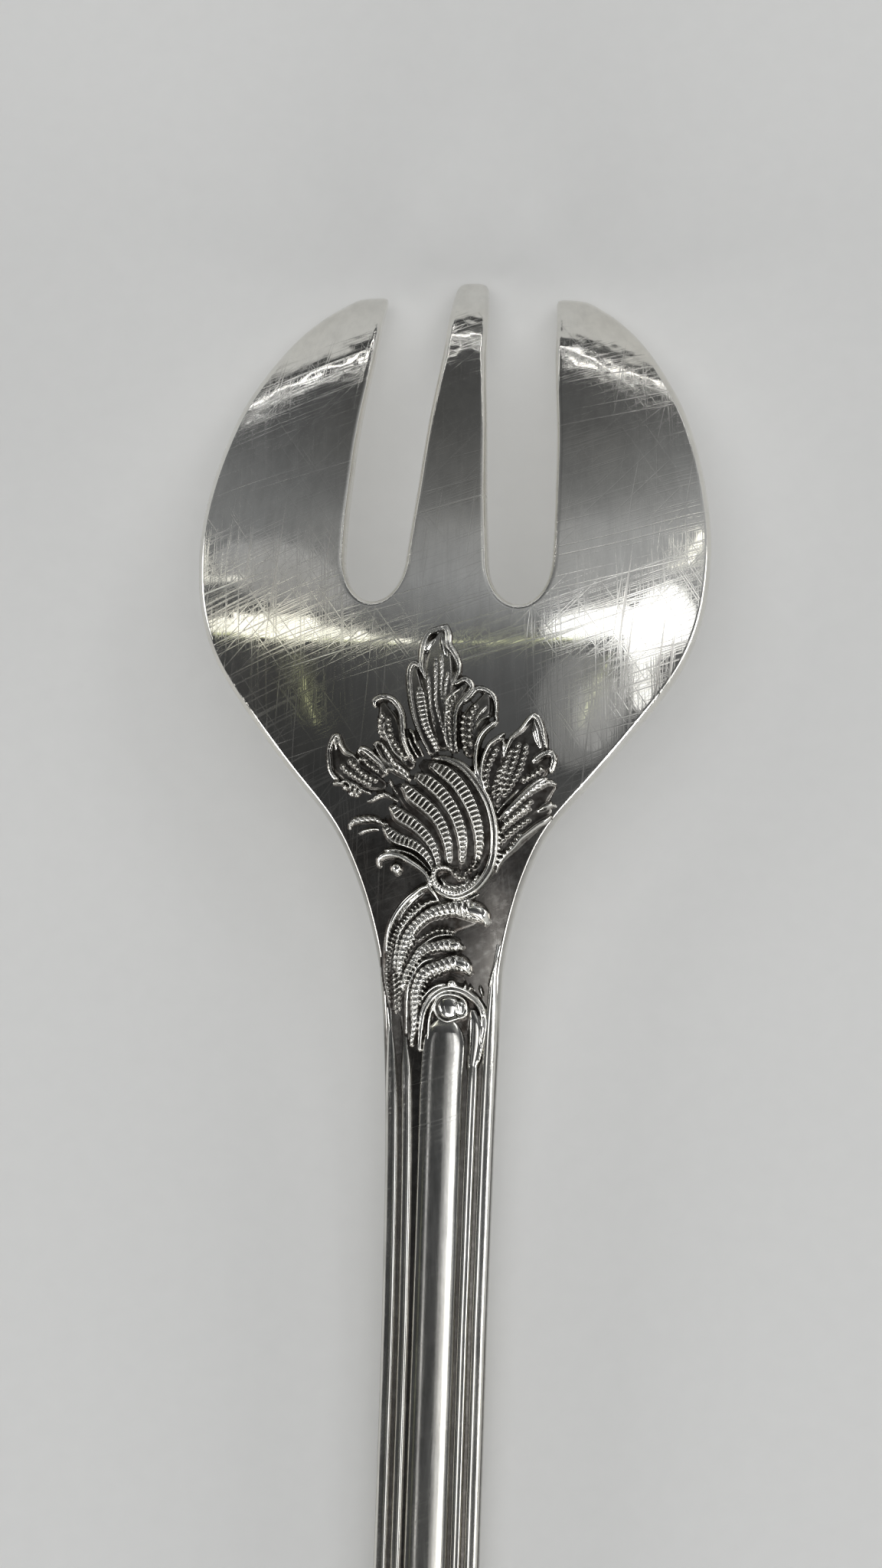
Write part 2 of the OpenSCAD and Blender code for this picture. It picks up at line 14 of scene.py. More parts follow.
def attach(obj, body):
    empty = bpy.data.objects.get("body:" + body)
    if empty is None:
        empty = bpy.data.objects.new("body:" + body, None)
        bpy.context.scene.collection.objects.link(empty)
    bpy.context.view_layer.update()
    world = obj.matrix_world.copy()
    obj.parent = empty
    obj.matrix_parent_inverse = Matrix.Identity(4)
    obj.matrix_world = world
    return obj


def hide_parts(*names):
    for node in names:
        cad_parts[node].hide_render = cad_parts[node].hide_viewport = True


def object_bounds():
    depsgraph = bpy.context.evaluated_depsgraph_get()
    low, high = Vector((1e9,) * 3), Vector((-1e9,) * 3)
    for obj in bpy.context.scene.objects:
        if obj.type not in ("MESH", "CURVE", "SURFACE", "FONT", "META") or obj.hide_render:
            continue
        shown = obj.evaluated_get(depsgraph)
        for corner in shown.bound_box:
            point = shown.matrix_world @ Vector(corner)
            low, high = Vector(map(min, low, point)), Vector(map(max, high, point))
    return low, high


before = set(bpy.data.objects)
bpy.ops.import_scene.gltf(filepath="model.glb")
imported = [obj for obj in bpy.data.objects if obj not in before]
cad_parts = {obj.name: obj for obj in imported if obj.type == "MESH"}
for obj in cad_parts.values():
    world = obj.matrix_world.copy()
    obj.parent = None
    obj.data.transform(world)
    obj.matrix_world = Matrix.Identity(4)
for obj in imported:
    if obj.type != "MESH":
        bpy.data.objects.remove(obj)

bl_info = {
    "name": "Oyster fork",
    "version": (1, 0, 0),
    "blender": (4, 5, 0),
    "location": "3D View > Sidebar > Oyster fork",
    "description": "Silver oyster fork with three broad tines and a chased shell ornament",
    "category": "Add Mesh",
}

MM = 0.001
CAD_LOW, CAD_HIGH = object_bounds()
STEP = 0.05          # between samples along the fork, in millimetres
STILL = "root"       # the one body of the part

# ---------------------------------------------------------------------------------------------
# Sizes, finishes and light that a user may change


class ForkShape(bpy.types.PropertyGroup):
    """Sizes of the forging and its raised work."""

    overall_length: FloatProperty(
        name="Overall length", description="From the middle tip to the end of the handle",
        default=CAD_HIGH.y - CAD_LOW.y, min=0.1, max=0.2, unit="LENGTH")
    head_length: FloatProperty(
        name="Head length", description="From the middle tip to the start of the even stem",
        default=0.040, min=0.036, max=0.044, unit="LENGTH")
    hump_height: FloatProperty(
        name="Hump height", description="Height of the back at its highest point",
        default=0.011, min=0.009, max=0.013, unit="LENGTH")
    head_width: FloatProperty(
        name="Head width", description="Across the outer tines at the widest point",
        default=CAD_HIGH.x - CAD_LOW.x, min=0.022, max=0.03, unit="LENGTH")
    camber_radius: FloatProperty(
        name="Camber radius", description="Radius of the rounded back across the head",
        default=0.029, min=0.024, max=0.04, unit="LENGTH")
    bowl_thickness: FloatProperty(
        name="Bowl thickness", description="Thickness of the metal in the bowl",
        default=0.0017, min=0.0012, max=0.0022, unit="LENGTH")
    tip_thickness: FloatProperty(
        name="Tip thickness", description="Thickness of the metal at the tine tips",
        default=0.00095, min=0.0008, max=0.0012, unit="LENGTH")
    tine_length: FloatProperty(
        name="Tine length", description="From the middle tip to where the slots close",
        default=0.0159, min=0.013, max=0.017, unit="LENGTH")
    slot_root: FloatProperty(
        name="Slot root", description="Further depth of the rounded slot bottoms",
        default=0.00245, min=0.0015, max=0.0028, unit="LENGTH")
    slot_width: FloatProperty(
        name="Slot width", description="Width of the slots between the tines",
        default=0.0035, min=0.0026, max=0.004, unit="LENGTH")
    middle_tine_width: FloatProperty(
        name="Middle tine width", description="Where the slots begin to close",
        default=0.004, min=0.003, max=0.005, unit="LENGTH")
    tip_setback: FloatProperty(
        name="Tip setback", description="How far the outer tips fall short of the middle one",
        default=0.0009, min=0.0004, max=0.0016, unit="LENGTH")
    stem_width: FloatProperty(
        name="Stem width", description="Width of the stem at its narrowest",
        default=0.0053, min=0.0048, max=0.007, unit="LENGTH")
    stem_thickness: FloatProperty(
        name="Stem thickness", description="Thickness of the stem with its threads",
        default=0.0027, min=0.0022, max=0.0034, unit="LENGTH")
    end_width: FloatProperty(
        name="End width", description="Greatest width of the handle end",
        default=0.0156, min=0.013, max=0.02, unit="LENGTH")
    end_thickness: FloatProperty(
        name="End thickness", description="Thickness of the handle end",
        default=0.0021, min=0.0016, max=0.0026, unit="LENGTH")
    end_length: FloatProperty(
        name="End length", description="Length of the widened handle end",
        default=0.036, min=0.03, max=0.046, unit="LENGTH")
    end_cap: FloatProperty(
        name="End cap", description="Length of the rounded part past the widest point",
        default=0.0105, min=0.009, max=0.015, unit="LENGTH")
    end_rise: FloatProperty(
        name="End rise", description="Height of the back above the table at the handle's end",
        default=0.005, min=0.004, max=0.007, unit="LENGTH")
    edge_round: FloatProperty(
        name="Edge round", description="Radius worn on the edges of the head",
        default=0.00034, min=0.0001, max=0.0004, unit="LENGTH")
    outer_thread: FloatProperty(
        name="Outer thread", description="Width of the outer thread along each edge",
        default=0.00066, min=0.0005, max=0.0008, unit="LENGTH")
    inner_thread: FloatProperty(
        name="Inner thread", description="Width of the inner thread on each side",
        default=0.00056, min=0.0004, max=0.0007, unit="LENGTH")
    groove: FloatProperty(
        name="Groove", description="Width of the grooves between threads and panel",
        default=0.00014, min=0.0001, max=0.0002, unit="LENGTH")
    edge_land: FloatProperty(
        name="Edge land", description="Narrow land left outside the outer thread",
        default=0.00006, min=0.00002, max=0.0001, unit="LENGTH")
    thread_height: FloatProperty(
        name="Thread height", description="Height of threads and panel above the ground",
        default=0.00032, min=0.0002, max=0.00045, unit="LENGTH")
    skin_step: FloatProperty(
        name="Skin step", description="Distance between the points of the forging's skin",
        default=0.0003, min=0.0001, max=0.001, unit="LENGTH")
    relief_step: FloatProperty(
        name="Relief step", description="Distance between the points of the chased work",
        default=0.000038, min=0.00003, max=0.0002, unit="LENGTH")


class ForkFinish(bpy.types.PropertyGroup):
    """Colours and wear of the silver."""

    silver: FloatVectorProperty(
        name="Silver", description="Colour of the polished plate",
        default=(0.82, 0.81, 0.77), min=0, max=1, subtype="COLOR")
    # Colour of the tarnish, used also for the painted shade round the chased work and on the ribs'
    # far slopes
    tarnish_and_shade: FloatVectorProperty(
        name="Tarnish", description="Colour of the old polish and tarnish in the hollows",
        default=(0.042, 0.033, 0.027), min=0, max=1, subtype="COLOR")
    warmth: FloatVectorProperty(
        name="Warm film", description="Faint warm film on the open surfaces",
        default=(0.76, 0.7, 0.58), min=0, max=1, subtype="COLOR")
    scratches: FloatProperty(
        name="Scratches", description="Depth of the hairline scratches",
        default=1.0, min=0, max=3, subtype="FACTOR")


class ForkStage(bpy.types.PropertyGroup):
    """Floor, lamps and camera."""

    floor_colour: FloatVectorProperty(
        name="Floor", description="Colour of the pale floor",
        default=(0.85, 0.85, 0.84), min=0, max=1, subtype="COLOR")
    floor_size: FloatProperty(
        name="Floor size", description="Width of the floor",
        default=20.0, min=0.5, max=50, unit="LENGTH")
    camera_distance: FloatProperty(
        name="Camera distance", description="From the camera to the fork's head",
        default=0.15, min=0.1, max=1, unit="LENGTH")
    camera_turn: FloatProperty(
        name="Camera turn", description="How far the camera stands to the right",
        default=math.radians(5.73), subtype="ANGLE", unit="ROTATION")
    camera_tilt: FloatProperty(
        name="Camera tilt", description="How far the camera leans back from overhead",
        default=math.radians(5.0), subtype="ANGLE", unit="ROTATION")
    camera_roll: FloatProperty(
        name="Camera roll", description="Turn of the picture about its middle",
        default=math.radians(2.05), subtype="ANGLE", unit="ROTATION")
    lens: FloatProperty(
        name="Lens", description="Focal length against the picture's long side",
        default=68.9, min=20, max=200, unit="CAMERA")


# ---------------------------------------------------------------------------------------------
# The forging's lines, as in the part's source: pairs of shares, joined by smooth curves. The
# first of a pair is a place along the head, the end or the slots; the second is a share of the
# greatest width, height or thickness, or of what the comment names. They differ from the
# source in the crown, fuller near the tips, and in the camber, rounder on neck and stem, as
# the reflections in the photo ask

OUTLINE_SHARES = [
    (0.0225, 0.42), (0.0275, 0.5), (0.042, 0.567), (0.08, 0.687), (0.135, 0.8), (0.19, 0.887),
    (0.24, 0.936), (0.29, 0.973), (0.35, 0.998), (0.41, 0.998), (0.47, 0.971), (0.53, 0.9),
    (0.595, 0.761), (0.665, 0.59), (0.73, 0.42), (0.79, 0.33), (0.85, 0.272), (0.9, 0.24)]
NECK_SHARES = [(0.9, 1.165), (1, 1.085), (1.12, 1.035), (1.35, 1)]
END_SHARES = [(0, 0), (0.2, 0.09), (0.4, 0.32), (0.6, 0.66), (0.8, 0.91), (1, 1)]
CROWN_SHARES = [
    (0, 0.0864), (0.03, 0.199), (0.06, 0.29), (0.135, 0.48), (0.21, 0.636), (0.285, 0.764),
    (0.36, 0.873), (0.46, 0.964), (0.55, 1), (0.65, 0.955), (0.75, 0.818), (0.85, 0.636),
    (0.95, 0.49), (1.05, 0.4), (1.2, 0.336), (1.4, 0.3)]
CAMBER_SHARES = [    # how much sharper the back is rounded than by the camber radius
    (0, 1.72), (0.12, 1.1), (0.45, 1.04), (0.62, 1.32), (0.75, 1.6), (0.86, 1.55), (1, 1.45),
    (1.2, 1.6), (2.6, 1.4), (3.2, 0.4)]
THICK_SHARES = [(0, 0), (0.1, 0.27), (0.3, 0.73), (0.5, 1), (0.65, 1.25), (0.75, 1.8)]
MIDDLE_SHARES = [
    (0, 0.3), (0.008, 0.38), (0.03, 0.42), (0.15, 0.51), (0.28, 0.55), (0.4, 0.625),
    (0.53, 0.72), (0.65, 0.785), (0.78, 0.85), (0.9, 0.93), (1, 1)]
SLOT_SHARES = [(0, 1), (0.6, 1), (0.85, 0.96), (1, 0.9)]
REST_SHARE = 0.59                               # where the handle rests, along the handle
GROUND_SHARE, GROUND_SLOPE_SHARE = 0.86, 0.13   # where the ground sinks, and how far it takes
TURN_SHARE, TURN_LENGTH_SHARE = 0.5, 0.4        # where the section turns from bowl to stem
BELLY_SHARES = (0.22, 0.4, 0.15)                # thinning to the edges: bowl, stem and end
UPPER_SHARE = 0.28                              # of the thickness, that an edge's round takes
# Where the old polish left on the neck begins, and how far it takes to grow full
FILM_SHARE, FILM_LENGTH_SHARE = 0.64, 0.13
END_FILM = 0.22      # what is left of it on the end of the handle
END_FILM_START, END_FILM_LENGTH = -4, 9   # where that begins, from the start of the end
EDGE_WIPE = 0.8      # how much of it is wiped off the worn edge of the neck
# Other shares: edge of the stem against the head's, where the neck is as thick as the stem,
# where the bowl ends, and where the slots part the tines
STEM_EDGE_SHARE, NECK_FULL_SHARE, BOWL_END_SHARE, TINE_SPLIT_SHARE = 0.9, 1.1, 0.75, 0.8
# How far each line is rounded, in millimetres
REACH = {"crown": 0.9, "camber": 1.2, "sunk": 0.3, "thick": 0.8, "head": 0.5, "outline": 0.26}
OUTLINE_SPACING = 0.25                          # between the points along the edge
EDGE_TURNS = np.radians([90, 72, 54, 36, 18, 0])    # of the rings across its round


def curve(table, at):
    """Height of the smooth curve through a table of pairs."""
    key, value = np.array(table, float).T
    i = np.arange(len(key))
    low, high = np.maximum(i - 1, 0), np.minimum(i + 1, len(key) - 1)
    slope = (value[high] - value[low]) / (key[high] - key[low])
    i = np.clip(np.searchsorted(key, at) - 1, 0, len(key) - 2)
    wide = key[i + 1] - key[i]
    u = np.clip((at - key[i]) / wide, 0, 1)
    return bend(value[i], value[i + 1], slope[i] * wide, slope[i + 1] * wide, u)


def bend(a, b, p, q, u):
    """Cubic from a to b that leaves a at slope p and meets b at slope q."""
    return (a * (2 * u**3 - 3 * u**2 + 1) + p * (u**3 - 2 * u**2 + u)
            + b * (3 * u**2 - 2 * u**3) + q * (u**3 - u**2))


def mix(a, b, u):
    """The value that lies a share u of the way from a to b."""
    return a + (b - a) * u


def ease(u):
    """Smooth rise from 0 to 1 while u goes from 0 to 1."""
    v = np.clip(u, 0, 1)
    return v * v * (3 - 2 * v)


def smoothed(values, reach):
    """The samples rounded over reach millimetres, so that reflections run without kinks."""
    count = int(3 * reach / STEP)
    bell = np.exp(-0.5 * (np.arange(-count, count + 1) * STEP / reach) ** 2)
    padded = np.pad(values, count, mode="reflect", reflect_type="odd")
    return np.convolve(padded, bell / bell.sum(), mode="valid")


class Form:
    """The forging's lines along its length, worked out from the user's sizes."""

    def __init__(self, shape):
        for key in shape.bl_rna.properties.keys():
            value = getattr(shape, key)
            if isinstance(value, float):
                setattr(self, key, value / MM)
        self.end_start = self.overall_length - self.end_length
        self.cap_start = self.overall_length - self.end_cap
        self.tip_y = self.overall_length / 2
        self.half_stem = self.stem_width / 2
        self.d = np.arange(0, self.overall_length + 2 * STEP, STEP)
        share = self.d / self.head_length
        last = ease((self.d - self.end_start) / (self.end_length - self.end_cap))
        turn = ease((share - TURN_SHARE) / TURN_LENGTH_SHARE)
        self.lines = {
            "crown": smoothed(self.crown_line(share), REACH["crown"]),
            "camber": (smoothed(curve(CAMBER_SHARES, share), REACH["camber"])
                       / (2 * self.camber_radius)),
            "sunk": smoothed(self.thread_height * ease((share - GROUND_SHARE)
                                                       / GROUND_SLOPE_SHARE), REACH["sunk"]),
            "thick": smoothed(self.thick_line(share, last), REACH["thick"]),
            "belly": mix(mix(BELLY_SHARES[0], BELLY_SHARES[1], turn), BELLY_SHARES[2], last),
            "width": self.width_line(share),
        }
        self.lines["edge"] = mix(self.edge_round, self.edge_round * STEM_EDGE_SHARE, turn)

    def width_line(self, share):
        d = self.d
        head = smoothed(curve(OUTLINE_SHARES, share) * self.head_width / 2, REACH["head"])
        neck = curve(NECK_SHARES, share) * self.half_stem
        end = mix(self.half_stem, self.end_width / 2,
                  curve(END_SHARES, (d - self.end_start) / (self.end_length - self.end_cap)))
        c = np.clip((d - self.cap_start) / self.end_cap, 0, 1)
        cap = self.end_width / 2 * np.sqrt(1 - c * c)
        return np.select([share < NECK_SHARES[0][0], d < self.end_start, d < self.cap_start],
                         [head, neck, end], cap)

    def crown_line(self, share):
        key, value = CROWN_SHARES[-1]
        start = key * self.head_length
        rest = REST_SHARE * (self.overall_length - self.head_length)
        u = (self.d - start) / (self.head_length + rest - start)
        v = (self.d - self.head_length - rest) / (self.overall_length - self.head_length - rest)
        fall = mix(self.stem_thickness, value * self.hump_height, (1 - u) ** 2)
        lift = mix(self.stem_thickness, self.end_rise, v * v)
        return np.where(share < key, curve(CROWN_SHARES, share) * self.hump_height,
                        np.where(u < 1, fall, lift))

    def thick_line(self, share, last):
        key, value = THICK_SHARES[-1]
        gain = mix(self.tip_thickness, self.bowl_thickness, value)
        neck = ease((share - key) / (NECK_FULL_SHARE - key))
        head = mix(self.tip_thickness, self.bowl_thickness, curve(THICK_SHARES, share))
        return np.where(share < key, head,
                        mix(mix(gain, self.stem_thickness, neck), self.end_thickness, last))

    def line(self, name, d):
        """Value of one of the lines at the places d."""
        return np.interp(d, self.d, self.lines[name])

    def top(self, x, d):
        """Height of the forging's back."""
        return self.line("crown", d) - self.line("sunk", d) - x * x * self.line("camber", d)

    def full(self, x, d):
        """Thickness of the metal."""
        wide = np.maximum(self.line("width", d), self.edge_round)
        q = np.minimum(np.abs(x) / wide, 1)
        return (self.line("thick", d) - self.line("sunk", d)) * (1 - self.line("belly", d) * q * q)

    def under(self, x, d):
        return self.top(x, d) - self.full(x, d)

    def middle_half(self, d):
        """Half width of the middle tine."""
        return curve(MIDDLE_SHARES, d / self.tine_length) * self.middle_tine_width / 2

    def slot_wall(self, d):
        """Distance of the slot's outer wall from the middle."""
        return self.middle_half(d) + self.slot_width * curve(SLOT_SHARES, d / self.tine_length)

    def outline(self, spacing):
        """Plan outline, clockwise from the middle tip, with corners worn round."""
        deep = np.arange(0, self.tine_length, STEP)
        outer = deep[deep > self.tip_setback]
        angle = np.linspace(0, np.pi, 90)
        inner, far = self.middle_half(self.tine_length), self.slot_wall(self.tine_length)
        edge = self.d[self.d > self.tip_setback]
        right = np.concatenate([
            [[0, 0]],
            np.stack([self.middle_half(deep), deep], 1),
            np.stack([mix(inner, far, (1 - np.cos(angle)) / 2),
                      self.tine_length + self.slot_root * np.sin(angle)], 1),
            np.stack([self.slot_wall(outer), outer], 1)[::-1],
            np.stack([self.line("width", edge), np.minimum(edge, self.overall_length)], 1),
        ])
        left = right[::-1] * (-1, 1)
        loop = resampled(np.concatenate([right, left]), STEP)
        loop = resampled(loop_smoothed(loop, REACH["outline"]), spacing)
        return np.stack([loop[:, 0], self.tip_y - loop[:, 1]], 1)


def resampled(loop, spacing):
    """A closed loop with its points evenly spaced."""
    closed = np.concatenate([loop, loop[:1]])
    run = np.concatenate([[0], np.cumsum(np.hypot(*np.diff(closed, axis=0).T))])
    at = np.linspace(0, run[-1], int(run[-1] / spacing) + 1)[:-1]
    return np.stack([np.interp(at, run, closed[:, k]) for k in (0, 1)], 1)


def loop_smoothed(loop, reach):
    """A closed loop with its corners rounded over reach millimetres."""
    count = int(3 * reach / STEP)
    bell = np.exp(-0.5 * (np.arange(-count, count + 1) * STEP / reach) ** 2)
    bell /= bell.sum()
    padded = np.concatenate([loop[-count:], loop, loop[:count]])
    return np.stack([np.convolve(padded[:, k], bell, mode="valid") for k in (0, 1)], 1)


def slope_normal(height, x, d, reach=0.1):
    """Upward normals of a height over the plan."""
    across = (height(x + reach, d) - height(x - reach, d)) / (2 * reach)
    along = (height(x, d + reach) - height(x, d - reach)) / (2 * reach)
    return unit(np.stack([-across, along, np.ones_like(across)], 1))


def unit(v):
    """Rows of a table of vectors, each made one long."""
    return v / np.linalg.norm(v, axis=1, keepdims=True)


# ---------------------------------------------------------------------------------------------
# Pieces


def finish_piece(piece, material, node):
    """Give a piece its finish and its place in the frame, instead of the node it stands for."""
    piece.data.materials.append(material)
    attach(piece, STILL)
    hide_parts(node)


def shell_piece(name, points, faces, normals, **values):
    """A mesh object from points in millimetres. It is written in code, because operators
    can't give it its own shading normals and attributes."""
    mesh = bpy.data.meshes.new(name)
    mesh.from_pydata((points * MM).tolist(), [], faces)
    mesh.shade_smooth()
    mesh.normals_split_custom_set_from_vertices(normals.tolist())
    for key, numbers in values.items():
        layer = mesh.attributes.new(key, "FLOAT", "POINT")
        layer.data.foreach_set("value", np.asarray(numbers, np.float32))
    piece = bpy.data.objects.new(name, mesh)
    bpy.context.scene.collection.objects.link(piece)
    return piece


def closed_shell(plan, triangles, upper, lower, upper_normals, lower_normals):
    """Two skins over the same plan triangles, joined by walls along every open edge.
    Returns points, faces and normals, with only the points in use."""
    used, flat = np.unique(triangles, return_inverse=True)
    tri = flat.reshape(triangles.shape)
    n = len(used)
    ahead = np.roll(tri, -1, 1)
    edges = np.stack([tri.ravel(), ahead.ravel()], 1)
    key, back = edges[:, 0] * n + edges[:, 1], edges[:, 1] * n + edges[:, 0]
    rim = edges[~np.isin(key, back)]
    walls = np.stack([rim[:, 1], rim[:, 0], rim[:, 0] + n, rim[:, 1] + n], 1)
    faces = tri.tolist() + (tri[:, ::-1] + n).tolist() + walls.tolist()
    points = np.concatenate([
        np.column_stack([plan[used], upper[used]]),
        np.column_stack([plan[used], lower[used]])])
    normals = np.concatenate([upper_normals[used], lower_normals[used]])
    return points, faces, normals, used


def forging_zones(form, x, d):
    """Name of the piece that each place of the plan belongs to."""
    slot = (form.middle_half(form.tine_length) + form.slot_wall(form.tine_length)) / 2
    split, tine = slot * TINE_SPLIT_SHARE, d < form.tine_length
    return np.select(
        [tine & (x < -split), tine & (x > split), tine, d < BOWL_END_SHARE * form.head_length,
         d < form.head_length, d < form.end_start],
        ["left_tine", "right_tine", "middle_tine", "bowl", "neck", "stem"], "handle_end")


def forging_plan(form):
    """Points and triangles of the plan, with the place of each point on the edge's round."""
    loop = form.outline(OUTLINE_SPACING)
    ahead = np.roll(loop, -1, 0) - np.roll(loop, 1, 0)
    inward = unit(np.stack([ahead[:, 1], -ahead[:, 0]], 1))
    edge = form.line("edge", form.tip_y - loop[:, 1])
    rings = [loop + inward * (edge * (1 - np.sin(f)))[:, None] for f in EDGE_TURNS]
    near = kdtree.KDTree(len(loop))
    for i, p in enumerate(loop):
        near.insert((p[0], p[1], 0), i)
    near.balance()

    def deep(x, y, i):
        """How far a place lies inside the outline, from its nearest point there."""
        return (x - loop[i][0]) * inward[i][0] + (y - loop[i][1]) * inward[i][1]

    step = form.skin_step
    inner = []
    for k, y in enumerate(np.arange(form.tip_y - step, -form.tip_y, -step)):
        wide = form.line("width", form.tip_y - y)
        row = np.arange(0, wide + step, step) + (step / 2 if k % 2 else 0)
        for x in np.concatenate([-row[::-1], row[0 if k % 2 else 1:]]):
            _, i, gap = near.find((x, y, 0))
            if deep(x, y, i) > 0 and gap > edge[i] + step / 2:
                inner.append((x, y))
    n = len(loop)
    plan = np.concatenate(rings + [np.array(inner)])
    ties = [(r * n + i, r * n + (i + 1) % n) for r in range(len(rings)) for i in range(n)]
    found = geometry.delaunay_2d_cdt([Vector(p) for p in plan], ties, [], 1, 1e-6, True)
    order = np.array([ids[0] for ids in found[3]])
    triangles = order[np.array(found[2])]
    # A triangle with all its corners on the outline may lie outside, as those over a slot do
    doubtful = np.flatnonzero((triangles < n).all(1))
    keep = np.ones(len(triangles), bool)
    for k, (x, y) in zip(doubtful, plan[triangles[doubtful]].mean(1)):
        keep[k] = deep(x, y, near.find((x, y, 0))[1]) > 0
    triangles = triangles[keep]
    turn = np.concatenate([np.full(n, f) for f in EDGE_TURNS] + [np.zeros(len(inner))])
    outward = np.concatenate([-inward] * len(rings) + [np.zeros((len(inner), 2))])
    return plan, triangles, turn, outward


def build_forging(form, finish):
    """The struck blank of the fork: tines, bowl, neck, stem and handle end. Add, extrude and
    bevel operators can't give one skin that follows crown and camber, with slots and an edge
    worn round, so its plan is triangulated in code and lifted, and the pieces are cut from it."""
    plan, triangles, turn, outward = forging_plan(form)
    x, d = plan[:, 0], form.tip_y - plan[:, 1]
    top, full = form.top(x, d), form.full(x, d)
    drop = UPPER_SHARE * full * (1 - np.cos(turn))
    upper, lower = top - drop, top - full + drop
    side = np.column_stack([outward, np.zeros(len(plan))])
    lean = (np.sin(turn) / form.edge_round)[:, None]
    stand = (np.cos(turn) / (UPPER_SHARE * np.maximum(full, 0.1)))[:, None]
    above = unit(side * lean + slope_normal(form.top, x, d) * stand)
    below = unit(side * lean - slope_normal(form.under, x, d) * stand)
    middle = plan[triangles].mean(1)
    zones = forging_zones(form, middle[:, 0], form.tip_y - middle[:, 1])
    ground = ease((d / form.head_length - FILM_SHARE) / FILM_LENGTH_SHARE)
    ground = ground * (1 - EDGE_WIPE * np.sin(turn) * ease((form.head_length - d) / 2))
    ground = ground * mix(1, END_FILM, ease((d - form.end_start - END_FILM_START)
                                            / END_FILM_LENGTH))
    for name in ("left_tine", "middle_tine", "right_tine", "bowl", "neck", "stem", "handle_end"):
        points, faces, normals, used = closed_shell(
            plan, triangles[zones == name], upper, lower, above, below)
        both = np.concatenate([ground[used], np.zeros(len(used))])
        piece = shell_piece("silver_" + name, points, faces, normals, ground=both)
        slot = "sunk_ground" if name in ("stem", "handle_end") else "polished_silver"
        finish_piece(piece, finish[slot], name)


def swept(name, path, across, half, height, section, form):
    """A raised strip along a path. It starts as a flat grid, is laid along the path in
    code, and is then closed along its foot and at its two ends."""
    rows, columns = len(path), len(section)
    bpy.ops.object.select_all(action="DESELECT")
    bpy.ops.mesh.primitive_grid_add(
        x_subdivisions=columns, y_subdivisions=rows - 1, size=MM, location=(0, 0, 0))
    piece = bpy.context.object
    piece.name = name
    sheet = np.array([v.co for v in piece.data.vertices]).reshape(rows, columns + 1, 3)
    foot = np.concatenate([section, section[:1]])
    for i in range(rows):
        x, d = path[i][:, None] + across[i][:, None] * (half[i] * foot[:, 0])[None]
        z = form.top(x, d) + height[i] * foot[:, 1]
        sheet[i] = np.stack([x, form.tip_y - d, z], 1) * MM
    piece.data.vertices.foreach_set("co", sheet.ravel())
    bpy.ops.object.mode_set(mode="EDIT")
    bpy.ops.mesh.select_all(action="SELECT")
    bpy.ops.mesh.remove_doubles(threshold=0.001 * MM)
    bpy.ops.mesh.select_all(action="DESELECT")
    bpy.ops.mesh.select_non_manifold()
    bpy.ops.mesh.fill_holes(sides=0)
    bpy.ops.mesh.select_all(action="SELECT")
    bpy.ops.mesh.normals_make_consistent(inside=False)
    bpy.ops.object.mode_set(mode="OBJECT")
    bpy.ops.object.shade_smooth_by_angle(angle=math.radians(50))
    return piece


FOOT_SINK = 0.1      # how deep a strip's foot goes into the ground, against its height


def footed(u, z):
    """A section with its two feet in the ground."""
    return np.concatenate([[[-1, -FOOT_SINK]], np.stack([u, z], 1), [[1, -FOOT_SINK]]])


def round_section(lean):
    """Half-round section; lean moves its height towards the middle of the fork."""
    u = -np.cos(np.linspace(0, np.pi, 21))
    z = (1 - u * u) ** 0.45 * (1 + lean * u)
    return footed(u, z / z.max())


def panel_section():
    """Section with a broad, faintly rounded back and steep sides."""
    u = -np.cos(np.linspace(0, np.pi, 33))
    return footed(u, 0.5 * np.sqrt(np.clip(1 - np.abs(u) ** 9, 0, 1)) + 0.5 * (1 - u * u))


def edge_path(form, start, inset):
    """Points and inward directions of a line that keeps its distance from the edge."""
    straight = np.arange(start, form.end_start, 0.5)
    end = np.linspace(form.end_start, form.cap_start, 90)[:-1]
    angle = np.linspace(0, np.pi / 2, 70)
    d = np.concatenate([straight, end])
    rim = np.concatenate([
        np.stack([form.line("width", d), d], 1),
        np.stack([form.end_width / 2 * np.cos(angle),
                  form.cap_start + form.end_cap * np.sin(angle)], 1)])
    ahead = np.gradient(rim, axis=0)
    inward = unit(np.stack([-ahead[:, 1], ahead[:, 0]], 1))
    inward[-1] = (0, -1)
    return rim + inward * inset, inward


ORNAMENT_LENGTH = 20.0
STEM_GAP = 0.5       # between the ornament's end and the start of the even stem
# Where threads and panel start, in shares of the ornament, and where the panel ends in the end.
# The threads start a little before those of the part's source
LEFT_START_SHARE, RIGHT_START_SHARE, INNER_START_SHARE = 0.93, 0.77, 1.0
PANEL_START_SHARE, PANEL_END_SHARE = 0.95, 0.2
OUTER_LEAN, INNER_LEAN = 0.4, 0.22
OUTER_GROWTH, INNER_GROWTH = 10, 4      # half millimetres over which a thread grows full
LEAST_WIDTH, LEAST_HEIGHT = 0.3, 0.05   # of a thread at its start, against what it grows to
PANEL_HEAD = 1.5     # length of the panel's rounded head
PANEL_HALF = 0.05    # its least half width
HEAD_PART, TAIL_PART = 0.04, 0.1        # shares of it with finer samples
PANEL_LEAN = [(0, 0.26), (0.012, 0.22), (0.04, 0.1), (0.08, 0.06), (0.3, 0), (1, 0)]


def ornament_start(form):
    return form.head_length - STEM_GAP - ORNAMENT_LENGTH


